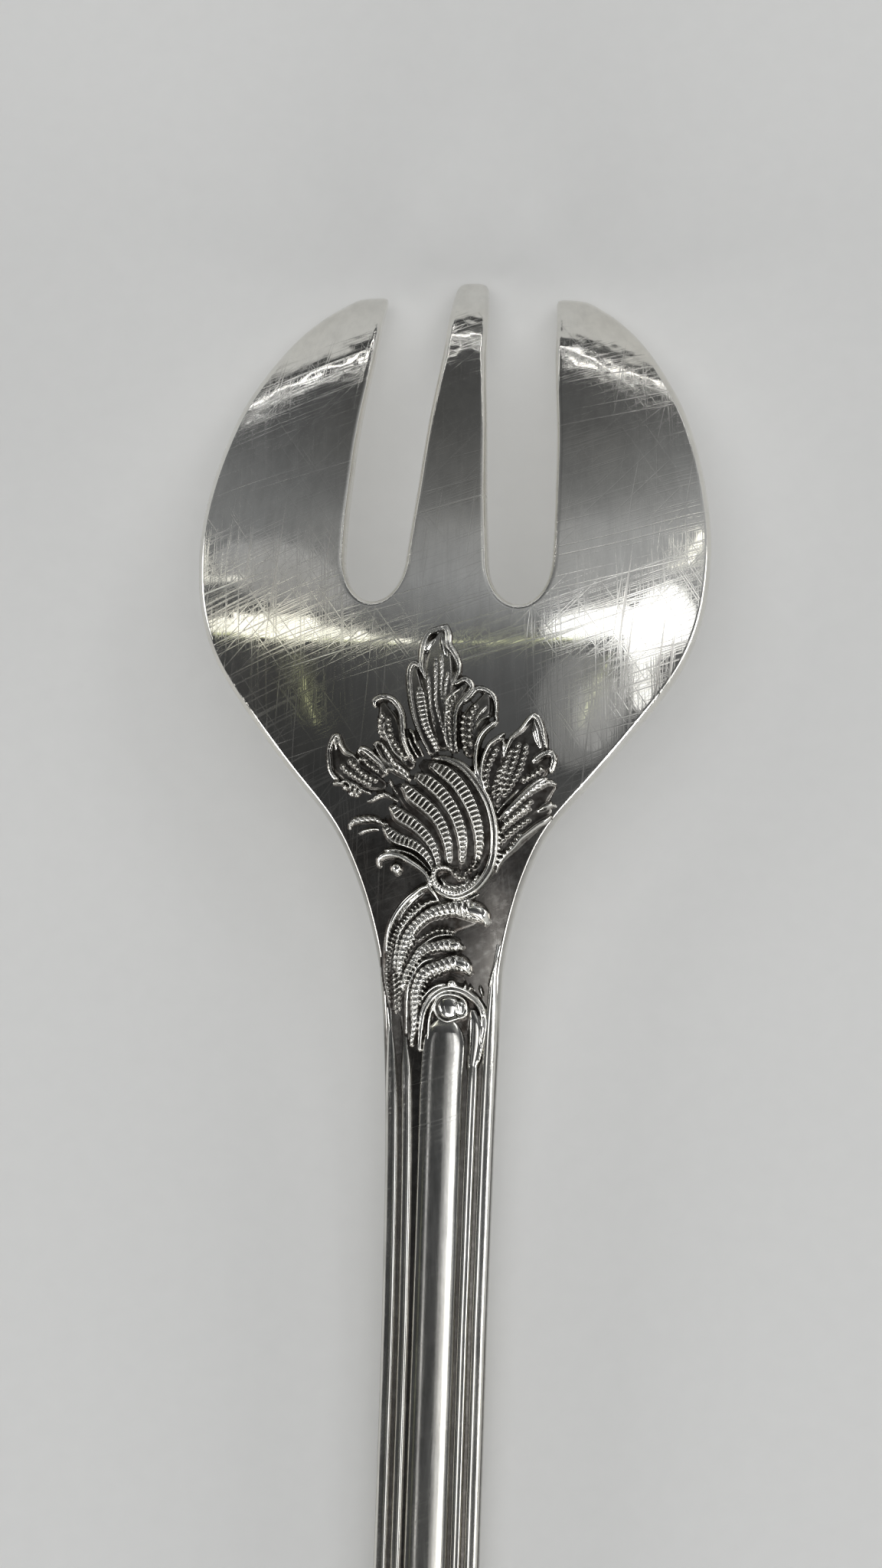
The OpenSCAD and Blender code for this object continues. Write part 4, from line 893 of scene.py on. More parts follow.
PLUME = [
    ("ground", 0.5, 0.05, SWELL, 0, [(0.4, 32.75), (-0.6, 32.8), (-1.4, 33.3), (-2, 34.2),
     (-2.35, 35.2), (-2.45, 36.5), (-2.4, 38)]),
    ("ground", 0.62, 0.05, SWELL, 0, [(1.6, 33.75), (0.6, 33.9), (-0.3, 34.1), (-1, 34.7),
     (-1.6, 35.6), (-1.9, 36.8), (-1.9, 38.3)]),
    ("ground", 0.55, 0.05, SWELL, 0, [(0.8, 35.4), (-0.2, 35.5), (-1, 36.1), (-1.5, 37),
     (-1.6, 38.2), (-1.65, 39.4)]),
    ("ground", 0.45, 0.05, SWELL, 0, [(1.1, 36.6), (0.2, 36.6), (-0.5, 37.1), (-0.95, 37.9),
     (-1.05, 39)]),
    ("beads", 0.095, 0.35, [(0, 0.8), (0.3, 1), (0.75, 0.95), (1, 0.45)], 0.22, [(-0.91, 32.9),
     (-1.1, 33.06), (-1.29, 33.22), (-1.47, 33.44), (-1.64, 33.67), (-1.83, 33.88), (-2.06, 34.15),
     (-2.2, 34.4), (-2.32, 34.7), (-2.43, 35.05), (-2.52, 35.4), (-2.6, 35.75), (-2.64, 36.1),
     (-2.66, 36.5), (-2.65, 36.9), (-2.6, 37.3), (-2.56, 37.8)]),
    ("rope", 0.12, 0.34, TAPER, 0.27, [(-0.05, 32.8), (-0.4, 32.86), (-0.72, 33.02), (-1, 33.24),
     (-1.26, 33.46), (-1.54, 33.74), (-1.75, 34), (-1.97, 34.38), (-2.1, 34.77), (-2.19, 35.2),
     (-2.26, 35.6), (-2.3, 36.1)]),
    ("marks", 0.134, 0.33, TAPER, 0.26, [(-2.3, 36.3), (-2.28, 36.8), (-2.25, 37.3), (-2.25, 37.8),
     (-2.22, 38.35)]),
    ("rope", 0.46, 0.42, BULB, 0.27, [(2.33, 33.7), (2.1, 33.42), (1.75, 33.26), (1.4, 33.18),
     (1.05, 33.13), (0.6, 33.14), (0.15, 33.22), (-0.29, 33.36), (-0.67, 33.6), (-1, 33.87),
     (-1.27, 34.16), (-1.5, 34.45), (-1.68, 34.78), (-1.81, 35.1), (-1.92, 35.45), (-2, 35.8),
     (-2.04, 36.3)]),
    ("smooth", 0.42, 0.5, SWELL, 0, [(2.34, 33.75), (2.12, 33.45), (1.75, 33.27), (1.3, 33.2)]),
    ("beads", 0.125, 0.39, EVEN, 0.26, [(1, 33.32), (0.74, 33.38), (0.47, 33.42), (0.2, 33.48),
     (-0.02, 33.52), (-0.23, 33.57), (-0.45, 33.65), (-0.67, 33.76), (-0.88, 33.92), (-1.1, 34.12),
     (-1.27, 34.4), (-1.4, 34.7), (-1.45, 35)]),
    ("beads", 0.125, 0.33, EVEN, 0.26, [(-1.2, 34.55), (-1.38, 34.95), (-1.62, 35.25),
     (-1.75, 35.6), (-1.88, 35.95)]),
    ("marks", 0.125, 0.33, TAPER, 0.26, [(-2.03, 36.4), (-2.05, 36.8), (-2.03, 37.3),
     (-2.06, 37.8), (-2.05, 38.2)]),
    ("beads", 0.125, 0.34, TAPER, 0.26, [(0.8, 34.3), (0.47, 34.24), (0.2, 34.22), (-0.02, 34.22),
     (-0.23, 34.28), (-0.45, 34.39), (-0.67, 34.5), (-0.87, 34.62), (-1.05, 34.75)]),
    ("strand", 0.055, 0.26, TAPER, 0, [(0.63, 34.42), (0.25, 34.43), (-0.07, 34.49), (-0.34, 34.6),
     (-0.61, 34.77), (-0.83, 34.93), (-1.1, 35.12), (-1.26, 35.32)]),
    ("rope", 0.33, 0.42, BULB, 0.27, [(1.1, 35.02), (0.8, 34.93), (0.47, 34.92), (0.04, 34.96),
     (-0.29, 35), (-0.61, 35.08), (-0.88, 35.22), (-1.1, 35.42), (-1.25, 35.67), (-1.4, 35.92),
     (-1.56, 36.16), (-1.7, 36.42), (-1.8, 36.75), (-1.88, 37.05)]),
    ("smooth", 0.3, 0.48, SWELL, 0, [(1.12, 35.05), (0.85, 34.95), (0.5, 34.94)]),
    ("marks", 0.125, 0.39, EVEN, 0.26, [(0.04, 35.16), (-0.23, 35.2), (-0.5, 35.27), (-0.75, 35.4),
     (-0.95, 35.58), (-1.15, 35.82), (-1.34, 36.08), (-1.52, 36.32), (-1.65, 36.6),
     (-1.74, 36.9)]),
    ("rope", 0.4, 0.43, [(0, 0.45), (0.1, 1), (0.3, 0.85), (0.7, 0.62), (1, 0.3)], 0.27,
     [(1.48, 36.22), (1.3, 35.95), (1, 35.8), (0.69, 35.77), (0.36, 35.85), (0.04, 35.97),
     (-0.29, 36.08), (-0.6, 36.22), (-0.83, 36.42), (-0.99, 36.68), (-1.1, 36.95), (-1.2, 37.25),
     (-1.25, 37.6), (-1.28, 38), (-1.28, 38.5), (-1.3, 38.95), (-1.38, 39.4), (-1.42, 39.85)]),
    ("smooth", 0.35, 0.49, SWELL, 0, [(1.48, 36.28), (1.3, 35.98), (1, 35.83), (0.65, 35.82)]),
    ("beads", 0.125, 0.41, EVEN, 0.26, [(0.6, 36.1), (0.3, 36.15), (0.1, 36.28), (-0.15, 36.38),
     (-0.4, 36.5), (-0.58, 36.7), (-0.72, 36.95), (-0.85, 37.2), (-0.95, 37.5), (-1, 37.8)]),
    ("strand", 0.09, 0.27, TAPER, 0, [(-0.35, 35.6), (-0.75, 35.74), (-1.05, 36), (-1.3, 36.35),
     (-1.48, 36.75), (-1.6, 37.2), (-1.66, 37.8), (-1.68, 38.5), (-1.7, 39.3)]),
]
PANEL_ARCH = [
    ("smooth", 0.42, 0.34, [(0, 0.3), (0.25, 0.7), (0.6, 1), (0.85, 0.9), (1, 0.5)], 0,
     [(1.6, 41.6), (1.66, 40.9), (1.76, 40.2), (1.83, 39.5), (1.82, 38.8), (1.66, 38.2)]),
    ("double", 0.22, 0.42, [(0, 0.4), (0.2, 0.8), (0.5, 1), (0.75, 0.8), (1, 0.45)], 0,
     [(1.95, 40.6), (2.06, 40), (2.16, 39.35), (2.22, 38.75), (2.15, 38.15), (1.9, 37.68),
     (1.5, 37.35), (1.05, 37.12), (0.6, 37.04), (0.15, 37.12), (-0.28, 37.38), (-0.6, 37.76),
     (-0.82, 38.2), (-0.93, 38.75), (-0.99, 39.4), (-1.03, 40.1)]),
    ("strand", 0.06, 0.3, TAPER, 0, [(1.76, 40.6), (1.93, 40), (2.1, 39.35), (2.2, 38.75),
     (2.15, 38.15), (1.9, 37.68), (1.5, 37.35), (1.05, 37.16), (0.6, 37.1), (0.15, 37.2),
     (-0.25, 37.45), (-0.58, 37.8), (-0.8, 38.2), (-0.93, 38.75), (-0.99, 39.4), (-1.03, 40.1)]),
    ("strand", 0.1, 0.33, TAPER, 0, [(0.3, 36.82), (-0.1, 36.92), (-0.48, 37.15), (-0.8, 37.5),
     (-1, 37.9)]),
    ("strand", 0.1, 0.34, TAPER, 0, [(0.02, 37.55), (-0.25, 37.8), (-0.43, 38.2), (-0.54, 38.7),
     (-0.58, 39.3), (-0.6, 40)]),
    ("smooth", 0.22, 0.46, SWELL, 0, [(0.38, 36.88), (0.62, 36.8), (0.88, 36.9)]),
    ("beads", 0.157, 0.39, TAPER, 0.27, [(1.15, 36.9), (1.42, 36.95), (1.7, 37.08)]),
    ("strand", 0.07, 0.26, SWELL, 0, [(2.02, 36.85), (2.06, 37.1), (2.14, 37.35)]),
    ("strand", 0.07, 0.27, TAPER, 0, [(2.5, 36.9), (2.6, 36.38), (2.75, 35.8), (2.86, 35.4)]),
]
ARCH_BEAD = [
    ("ground", 1.0, 0.05, EVEN, 0, [(0.2, 38.1), (1.6, 38.3)]),
    ("smooth", 0.64, 0.43, FULL, 0, [(0.44, 38), (0.5, 38.02)]),
    ("smooth", 0.4, 0.4, FULL, 0, [(1, 37.95), (1.02, 38.1)]),
    ("strand", 0.1, 0.45, FULL, 0, [(0.45, 37.33), (0.9, 37.4), (1.25, 37.66), (1.36, 38.05),
     (1.22, 38.4), (0.95, 38.5), (0.72, 38.58), (0.35, 38.68), (-0.04, 38.5), (-0.24, 38.1),
     (-0.18, 37.7), (0.08, 37.42), (0.45, 37.33)]),
]
CUTS = [
    (0.07, 0.1, [(0.95, 38.62), (1.15, 38.85), (1.32, 39.2), (1.4, 39.7), (1.42, 40.2)]),
    (0.035, 0.06, [(0.78, 37.7), (0.92, 37.9), (0.94, 38.15), (0.84, 38.4)]),
    (0.05, 0.08, [(2.2, 33.85), (2.0, 33.6), (1.7, 33.47), (1.35, 33.4)]),
    (0.05, 0.07, [(1.3, 36.3), (1.15, 36.1), (0.9, 36.02)]),
]
ORNAMENT = [
    ("crest_leaf", CREST_LEAF), ("crest_side_leaves", CREST_SIDE_LEAVES),
    ("hook_leaves", HOOK_LEAVES), ("left_leaves", LEFT_LEAVES), ("right_leaf", RIGHT_LEAF),
    ("right_lower_leaves", RIGHT_LOWER_LEAVES), ("shell_fan", SHELL_FAN),
    ("fan_scroll", FAN_SCROLL), ("volute", VOLUTE),
    ("pearl", [("smooth", 0.27, 0.4, FULL, 0, [(-2.1, 31.3), (-2.06, 31.34)])]),
    ("plume_edge", PLUME_EDGE), ("plume", PLUME), ("panel_arch", PANEL_ARCH),
    ("arch_bead", ARCH_BEAD),
]
PATH_SPACING = 0.05  # between the samples of a stroke
MARGIN = 0.05        # kept round a stroke's window
EDGE_MARGIN = 0.06   # kept free along the edge of the forging
WINDOW = (6, 0.6, 23)   # half width of the relief, and how far it goes before and past its start
APRON = 3            # cells of dark border kept round the raised work: tarnish and painted contact shadow
APRON_RISE, HEM = 0.012, 0.03
SHEET_DEPTH = 0.06   # of the hidden underside of the raised work, below the ground
SOFTEN = 0.024       # rounding of the chased edges
CAVITY = 0.12        # reach of the search for hollows
# Depth below its surroundings over which a place grows dark, and the share of it that passes
# before that begins
HOLLOW_DEPTH, HOLLOW_START = 0.075, 0.2
DARK_REACH = 0.6     # cells over which the tarnish between marks, and the painted shade on the ribs' far slopes, is blurred
# A cell with less than this share of its own kind round it belongs to an island. Its
# surroundings are weighed over these reaches in cells, one after the other
ISLAND_SHARE, ISLAND_REACHES = 0.3, (3.0, 1.5)
CORNER_ROUNDS = 4    # passes that part cells which meet only at a corner


def section(style, u, r, s, period):
    """Height and darkening of a stroke, as shares: u runs across it, r out from its middle and s
    along it. The darkening is tarnish, except over a rib's far slope, where it is painted shade."""
    round_top = np.sqrt(np.clip(1 - r * r, 0, 1))
    turn = 2 * np.pi * s / period if period else 0 * s
    wave = 0.5 + 0.5 * np.cos(turn)
    if style in ("body", "ground"):
        return ease((1 - r) / 0.3), FACE_TARNISH[style] + 0 * r
    if style == "double":
        split = np.exp(-(u / 0.2) ** 2)
        return round_top ** 0.7 * (1 - 0.4 * split), 0.7 * split
    if style == "ridge":
        return np.clip(1 - r, 0, 1) ** 0.75, 0 * r
    if style == "rope":
        wave = 0.5 + 0.5 * np.cos(turn + 2.2 * u)
        return round_top ** 0.8 * (0.66 + 0.34 * wave * (1 - u * u * 0.4)), 0.8 * (1 - wave) ** 2
    if style == "ladder":
        return round_top ** 0.5 * (0.56 + 0.44 * wave), 0.85 * (1 - wave) ** 1.5
    if style in ("beads", "marks"):
        lean = 0 if style == "beads" else 0.8 * u
        v = 2 * ((s / period + lean * 0.3) % 1 - 0.5) / 0.84
        q = 1 - r * r * 0.9 - v * v
        return np.sqrt(np.clip(q, 0, 1)), 0.95 * (1 - ease(q / 0.4))
    if style == "rib":
        crest = np.exp(-((u + 0.55) / 0.22) ** 2)
        slope = ease((u + 0.95) / 0.4) * (1 - 0.62 * np.clip((u + 0.4) / 1.35, 0, 1))
        mark = 0.5 + 0.5 * np.cos(turn + 0.5 * u)
        within = ease((u + 0.38) / 0.16) * ease((0.95 - u) / 0.3)
        lying = slope * (1 - 0.6 * within * (1 - mark))
        # The dark between the marks is tarnish; the dark over the far slope, past u of 0.5, is
        # painted shade
        dark = within * np.maximum((1 - mark) ** 1.3, ease((u - 0.5) / 0.4)) * 0.95
        return np.maximum(crest, lying * 0.88) * ease((1 - r) / 0.12), dark * (1 - crest)
    return round_top, 0 * r


class Relief:
    """Chased work as one height over the plan. Strokes are laid into it, each for its node."""

    def __init__(self, x_range, d_range, step):
        self.step = step
        self.x, self.d = np.arange(*x_range, step), np.arange(*d_range, step)
        self.height = np.zeros((len(self.d), len(self.x)))
        self.cuts, self.dark = np.zeros_like(self.height), np.zeros_like(self.height)
        self.owner = np.full(self.height.shape, -1)
        self.names = []

    def near(self, points, reach):
        """The cells near a stroke: window, place across, along and past its end, length."""
        path = stroke_path(points, PATH_SPACING)
        run = np.concatenate([[0], np.cumsum(np.hypot(*np.diff(path, axis=0).T))])
        ahead = unit(np.gradient(path, axis=0))
        low, high = path.min(0) - reach, path.max(0) + reach
        i = slice(*np.searchsorted(self.d, (low[1], high[1])))
        k = slice(*np.searchsorted(self.x, (low[0], high[0])))
        d, x = np.meshgrid(self.d[i], self.x[k], indexing="ij")
        place = np.stack([x.ravel(), d.ravel()], 1)
        gap = (path ** 2).sum(1)[None] - 2 * place @ path.T
        at = gap.argmin(1)
        off = place - path[at]
        along = (off * ahead[at]).sum(1)
        across = off[:, 0] * ahead[at, 1] - off[:, 1] * ahead[at, 0]
        past = np.where(at == 0, -along, np.where(at == len(path) - 1, along, 0))
        values = across, run[at] + along, np.maximum(past, 0)
        return (i, k), [v.reshape(x.shape) for v in values], run[-1]

    def lay(self, name, style, half, height, swell, period, points):
        """Raise a stroke of a node's work where it stands higher than what lies there."""
        if name not in self.names:
            self.names.append(name)
        window, (across, s, past), length = self.near(points, half + MARGIN)
        wide = curve(swell, np.clip(s / length, 0, 1))
        u, r = across / (half * wide), np.hypot(across, past) / (half * wide)
        share, dark = section(style, u, r, s, period)
        value = height * wide ** 0.5 * share
        value[r >= 1] = 0
        higher = value > self.height[window]
        self.height[window][higher] = value[higher]
        self.dark[window][higher] = dark[higher]
        self.owner[window][higher] = self.names.index(name)

    def cut(self, half, depth, points):
        """Engrave a line into the raised work."""
        window, (across, _, past), _ = self.near(points, 3 * half)
        value = depth * np.exp(-(np.hypot(across, past) / half) ** 2)
        self.cuts[window] = np.maximum(self.cuts[window], value)

    def spread_owner(self):
        """Give the cells just outside the raised work to the piece beside them."""
        for _ in range(APRON):
            grown = self.owner.copy()
            for axis, way in ((0, 1), (0, -1), (1, 1), (1, -1)):
                side = np.roll(self.owner, way, axis)
                grown = np.where((grown < 0) & (side >= 0), side, grown)
            self.owner = grown

    def pieces(self, form, material):
        """A closed piece for each node, with tarnish kept in its hollows, and painted shade in its
        dark border and on the ribs' far slopes.
        """
        raised = self.height > 0
        height = blurred(self.height, SOFTEN / self.step)
        height = np.maximum(height - self.cuts * raised, 0)
        self.spread_owner()
        wide = form.line("width", self.d)[:, None] - EDGE_MARGIN
        self.owner[np.abs(self.x)[None] > wide] = -1
        hollow = (blurred(height, CAVITY / self.step) - height) / HOLLOW_DEPTH - HOLLOW_START
        hollow = np.maximum(np.clip(hollow, 0, 1), blurred(self.dark, DARK_REACH))
        past_crest = ease((self.d / form.head_length - CREST_END_SHARE) / CREST_FADE_SHARE)
        hollow *= mix(CREST_TARNISH, 1, past_crest)[:, None]
        # The border round the raised work is made fully dark: tarnish and painted contact shadow
        hollow[~raised] = 1
        x, d = np.meshgrid(self.x, self.d)
        ground = form.top(x, d)
        skin = ground + np.maximum(height, APRON_RISE)
        across = np.gradient(skin, self.step, axis=1)
        along = np.gradient(skin, self.step, axis=0)
        normals = unit(np.stack([-across, along, np.ones_like(skin)], 2).reshape(-1, 3))
        full = corners(self.owner >= 0).all(2)
        core = np.zeros_like(raised)
        core[1:-1, 1:-1] = full[:-1, :-1] & full[1:, :-1] & full[:-1, 1:] & full[1:, 1:]
        skin = np.where(core, skin, ground - HEM)
        plan = np.stack([x, form.tip_y - d], 2).reshape(-1, 2)
        index = corners(np.arange(x.size).reshape(x.shape))
        highest = corners(height).argmax(2)[:, :, None]
        tallest = np.take_along_axis(corners(self.owner), highest, 2)[:, :, 0]
        tallest = tidied(np.where(full, tallest, -1))
        below = (ground - SHEET_DEPTH).ravel()
        for number, name in enumerate(self.names):
            points, faces, sides, used = closed_shell(
                plan, index[tallest == number], skin.ravel(), below, normals, -normals)
            shade = np.concatenate([hollow.ravel()[used], np.ones(len(used))])
            piece = shell_piece("silver_" + name, points, faces, sides, hollow=shade)
            finish_piece(piece, material, name)


def corners(field):
    """Values of a field at the four corners of each cell, in order round it."""
    return np.stack([field[:-1, :-1], field[1:, :-1], field[1:, 1:], field[:-1, 1:]], 2)


def tidied(owner):
    """Owners of the cells, once small islands have gone to the piece round them and no cell
    meets its own kind only at a corner."""
    for spread in ISLAND_REACHES:
        counts = [blurred((owner == k).astype(float), spread) for k in range(owner.max() + 1)]
        most = np.argmax(counts, 0)
        alone = (owner >= 0) & (np.take_along_axis(
            np.array(counts), np.maximum(owner, 0)[None], 0)[0] < ISLAND_SHARE)
        owner = np.where(alone, most, owner)
    for _ in range(CORNER_ROUNDS):
        a, b, c, e = owner[:-1, :-1], owner[1:, 1:], owner[1:, :-1], owner[:-1, 1:]
        crossed = (a == b) & (a >= 0) & (c != a) & (e != a)
        b[crossed] = c[crossed]
        crossed = (c == e) & (c >= 0) & (a != c) & (b != c)
        e[crossed] = a[crossed]
    return owner


def stroke_path(points, spacing):
    """Smooth line through points, evenly sampled."""
    p = np.array(points, float)
    n = len(p) - 1
    t = np.linspace(0, n, 12 * n + 1)
    i = np.minimum(t.astype(int), n - 1)
    a, b = p[i], p[i + 1]
    before, after = p[np.maximum(i - 1, 0)], p[np.minimum(i + 2, n)]
    line = bend(a, b, (b - before) / 2, (after - a) / 2, (t - i)[:, None])
    run = np.concatenate([[0], np.cumsum(np.hypot(*np.diff(line, axis=0).T))])
    at = np.linspace(0, run[-1], max(int(run[-1] / spacing), 2) + 1)
    return np.stack([np.interp(at, run, line[:, k]) for k in (0, 1)], 1)


def blurred(field, reach):
    """A field smoothed over reach cells, both ways."""
    count = max(int(3 * reach), 1)
    bell = np.exp(-0.5 * (np.arange(-count, count + 1) / reach) ** 2)
    bell /= bell.sum()
    for axis in (0, 1):
        padded = np.pad(field, [(count, count) if k == axis else (0, 0) for k in (0, 1)])
        field = sum(w * np.take(padded, np.arange(field.shape[axis]) + k, axis)
                    for k, w in enumerate(bell))
    return field


def build_ornament(form, finish):
    """Leaves, shell, scroll, plume and arch, chased over the bowl and neck. Hundreds of
    crossing strokes can't be modelled with edit-mode tools, so one height is worked out over
    a fine plan and each piece is cut from it."""
    start = ornament_start(form)
    side, before, past = WINDOW
    relief = Relief((-side, side), (start - before, start + past), form.relief_step)
    shift = (0, start - BASE_START)
    for name, strokes in ORNAMENT:
        for style, half, height, swell, period, points in strokes:
            relief.lay(name, style, half, height, swell, period, np.add(points, shift))
    for half, depth, points in CUTS:
        relief.cut(half, depth, np.add(points, shift))
    relief.pieces(form, finish["chased_relief"])


# Shell on the end of the handle: its foot as a share of the end, its length, how much narrower
# it is than long, the number of its ribs and the turn of the last one in degrees
FOOT_SHARE, END_SHELL_LENGTH, SHELL_NARROW, RIB_COUNT, RIB_TURN = 0.44, 9.0, 0.62, 7, 62.0
# Window round it: half width, and how far it goes before the foot and past the shell
END_WINDOW = (6.4, 3.6, 1.6)
# Rim of a rib's end: turn from the rib and distance from the foot
END_RIM = [(-0.15, 8.2), (-0.11, 8.85), (-0.04, 9.12), (0.04, 9.12), (0.11, 8.85), (0.15, 8.2)]
# Below the shell: one of the two scrolls in shell lengths, and where each leaf starts and how
# far it reaches
END_SCROLL = [(0.06, -0.1), (0.22, -0.16), (0.38, -0.06), (0.46, 0.08), (0.4, 0.2),
              (0.3, 0.17), (0.31, 0.09)]
END_LEAVES = [((1.5, -1.5), (1.0, -1.0)), ((2.5, -1.15), (1.15, -0.85)),
              ((3.3, -0.6), (1.2, -0.45))]
PETAL = [(0, 0.6), (0.05, 0.86), (0.14, 1), (0.6, 0.6), (1, 0.24)]   # swelling of a rib


def end_ray(turn, near, far):
    """Places along a ray of the end shell, from its outer end inwards."""
    away = np.array([math.sin(turn) * SHELL_NARROW, math.cos(turn)]) * END_SHELL_LENGTH
    return [away * mix(far, near, k / 5) for k in range(6)]


def build_end_shell(form, finish):
    """The shell and scrolls on the end of the handle, laid in code as the other chased work
    is, for the same reason."""
    foot = np.array([0, form.end_start + FOOT_SHARE * form.end_length])
    side, before, past = END_WINDOW
    relief = Relief((-side, side), (foot[1] - before, foot[1] + END_SHELL_LENGTH + past),
                    form.relief_step)
    turns = [math.radians(RIB_TURN * (2 * k / (RIB_COUNT - 1) - 1)) for k in range(RIB_COUNT)]

    def lay(name, style, half, height, swell, period, points):
        relief.lay(name, style, half, height, swell, period, np.array(points) + foot)

    for turn in turns:
        half = 0.098 * END_SHELL_LENGTH * mix(1, 0.8, abs(turn) / math.radians(RIB_TURN))
        lay("end_shell", "smooth", half, 0.5, PETAL, 0, end_ray(turn, 0.22, 0.98))
        lay("end_shell", "ladder", half * 0.5, 0.54, PETAL, 0.3, end_ray(turn, 0.3, 0.88))
        lay("end_shell", "strand", 0.11, 0.52, EVEN, 0,
            [(SHELL_NARROW * r * math.sin(turn + t), r * math.cos(turn + t))
             for t, r in END_RIM])
    for left, right in zip(turns, turns[1:]):
        lay("end_shell", "beads", 0.14, 0.46, PETAL, 0.3,
            end_ray((left + right) / 2, 0.3, 0.86))
    lay("end_shell", "rope", 0.22, 0.57, SWELL, 0.26,
        [(math.sin(t) * 1.3, math.cos(t) * 1.75) for t in np.linspace(-1.4, 1.4, 9)])
    lay("end_shell", "smooth", 0.62, 0.52, FULL, 0, [(0, 0.55), (0, 0.7)])
    for side in (-1, 1):
        coil = np.array(END_SCROLL) * (side * END_SHELL_LENGTH, END_SHELL_LENGTH)
        lay("end_scrolls", "ground", 0.5, 0.05, TAPER, 0, coil)
        lay("end_scrolls", "double", 0.36, 0.46, SWELL, 0, coil)
        lay("end_scrolls", "smooth", 0.28, 0.46, FULL, 0, [coil[-1], coil[-1] + (0, 0.02)])
        for start, reach in END_LEAVES:
            start, reach = np.array(start) * (side, 1), np.array(reach) * (side, 1)
            leaf = [start, start + reach * 0.5 + (0, 0.12), start + reach]
            lay("end_scrolls", "body", 0.3, 0.3, SWELL, 0, leaf)
            lay("end_scrolls", "rope", 0.15, 0.42, SWELL, 0.27, leaf)
    lay("end_scrolls", "smooth", 0.34, 0.46, FULL, 0, [(0, -0.95), (0, -0.93)])
    lay("end_scrolls", "smooth", 0.2, 0.4, FULL, 0, [(0, -1.62), (0, -1.6)])
    relief.pieces(form, finish["chased_relief"])


# ---------------------------------------------------------------------------------------------
# Finishes


def new_group(name, inputs, outputs):
    """An empty node group with its sockets. Returns the group, its inlet and its outlet."""
    group = bpy.data.node_groups.new(name, "ShaderNodeTree")
    for label, kind, default in inputs:
        socket = group.interface.new_socket(label, in_out="INPUT", socket_type=kind)
        socket.default_value = default
    for label, kind in outputs:
        group.interface.new_socket(label, in_out="OUTPUT", socket_type=kind)
    inlet = group.nodes.new("NodeGroupInput")
    outlet = group.nodes.new("NodeGroupOutput")
    return group, inlet, outlet


class Wiring:
    """Short calls for adding and joining the nodes of one tree."""

    def __init__(self, tree):
        self.tree = tree

    def node(self, kind, settings=(), **inputs):
        made = self.tree.nodes.new("ShaderNode" + kind)
        for key, value in dict(settings).items():
            setattr(made, key, value)
        for key, value in inputs.items():
            self.feed(made.inputs[key.replace("_", " ")], value)
        return made

    def feed(self, socket, value):
        if isinstance(value, bpy.types.NodeSocket):
            self.tree.links.new(value, socket)
        else:
            socket.default_value = value

    def math(self, operation, a, b=0.0, clamp=False):
        made = self.tree.nodes.new("ShaderNodeMath")
        made.operation, made.use_clamp = operation, clamp
        self.feed(made.inputs[0], a)
        self.feed(made.inputs[1], b)
        return made.outputs[0]

    def vector(self, operation, a, b=(0, 0, 0)):
        made = self.tree.nodes.new("ShaderNodeVectorMath")
        made.operation = operation
        self.feed(made.inputs[0], a)
        self.feed(made.inputs[1], b)
        return made.outputs[0]

    def span(self, value, low, high, to_low=0.0, to_high=1.0):
        made = self.node("MapRange", {"clamp": True}, Value=value, From_Min=low,
                         From_Max=high, To_Min=to_low, To_Max=to_high)
        return made.outputs[0]

    def blend(self, factor, a, b):
        made = self.tree.nodes.new("ShaderNodeMix")
        made.data_type = "RGBA"
        self.feed(made.inputs[0], factor)
        self.feed(made.inputs[6], a)
        self.feed(made.inputs[7], b)
        return made.outputs[2]


HAIRLINE_BOW, HAIRLINE_EDGE = 0.0011, 0.14   # how far a scratch bends, and how soft it is


def hairline_group():
    """Fine straight scratches in one direction: a mask that is 1 in a scratch."""
    group, inlet, outlet = new_group(
        "hairline_scratches",
        [("Turn", "NodeSocketFloat", 0.0), ("Across", "NodeSocketFloat", 34000.0),
         ("Along", "NodeSocketFloat", 260.0), ("Rarity", "NodeSocketFloat", 0.66),
         ("Seed", "NodeSocketFloat", 0.0)],
        [("Mask", "NodeSocketFloat")])
    w = Wiring(group)
    place = w.node("TexCoord").outputs["Object"]
    drift = w.node("TexNoise", {"noise_dimensions": "4D"}, Vector=place, Scale=70.0, Detail=1.0,
                   W=inlet.outputs["Seed"])
    bow = w.vector("SCALE", w.vector("SUBTRACT", drift.outputs["Color"], (0.5, 0.5, 0.5)))
    bow.node.inputs["Scale"].default_value = HAIRLINE_BOW
    turned = w.node("VectorRotate", {"rotation_type": "Z_AXIS"},
                    Vector=w.vector("ADD", place, bow), Angle=inlet.outputs["Turn"])
    split = w.node("SeparateXYZ", Vector=turned.outputs[0])
    joined = w.node("CombineXYZ",
                    X=w.math("MULTIPLY", split.outputs[0], inlet.outputs["Along"]),
                    Y=w.math("MULTIPLY", split.outputs[1], inlet.outputs["Across"]),
                    Z=w.math("MULTIPLY", split.outputs[2], 60.0))
    streak = w.node("TexNoise", {"noise_dimensions": "4D"}, Vector=joined.outputs[0],
                    W=inlet.outputs["Seed"], Scale=1.0, Detail=0.0)
    mask = w.node("MapRange", {"clamp": True, "interpolation_type": "SMOOTHSTEP"},
                  Value=streak.outputs["Fac"], From_Min=inlet.outputs["Rarity"],
                  From_Max=w.math("ADD", inlet.outputs["Rarity"], HAIRLINE_EDGE))
    w.feed(outlet.inputs["Mask"], mask.outputs[0])
    return group


# Scratches: their turn, fineness across and along, rarity, seed and strength
SCRATCHES = [
    (-0.42, 15000.0, 120.0, 0.6, 1.0, 0.6), (-0.3, 11000.0, 85.0, 0.69, 5.0, 0.95),
    (1.5, 15000.0, 170.0, 0.6, 9.0, 0.55), (1.66, 12000.0, 150.0, 0.67, 23.0, 0.8),
    (0.95, 14000.0, 170.0, 0.66, 13.0, 0.6), (-0.85, 14000.0, 150.0, 0.65, 17.0, 0.6),
    (-0.36, 25000.0, 150.0, 0.56, 37.0, 0.26), (1.57, 24000.0, 220.0, 0.56, 41.0, 0.26),
]


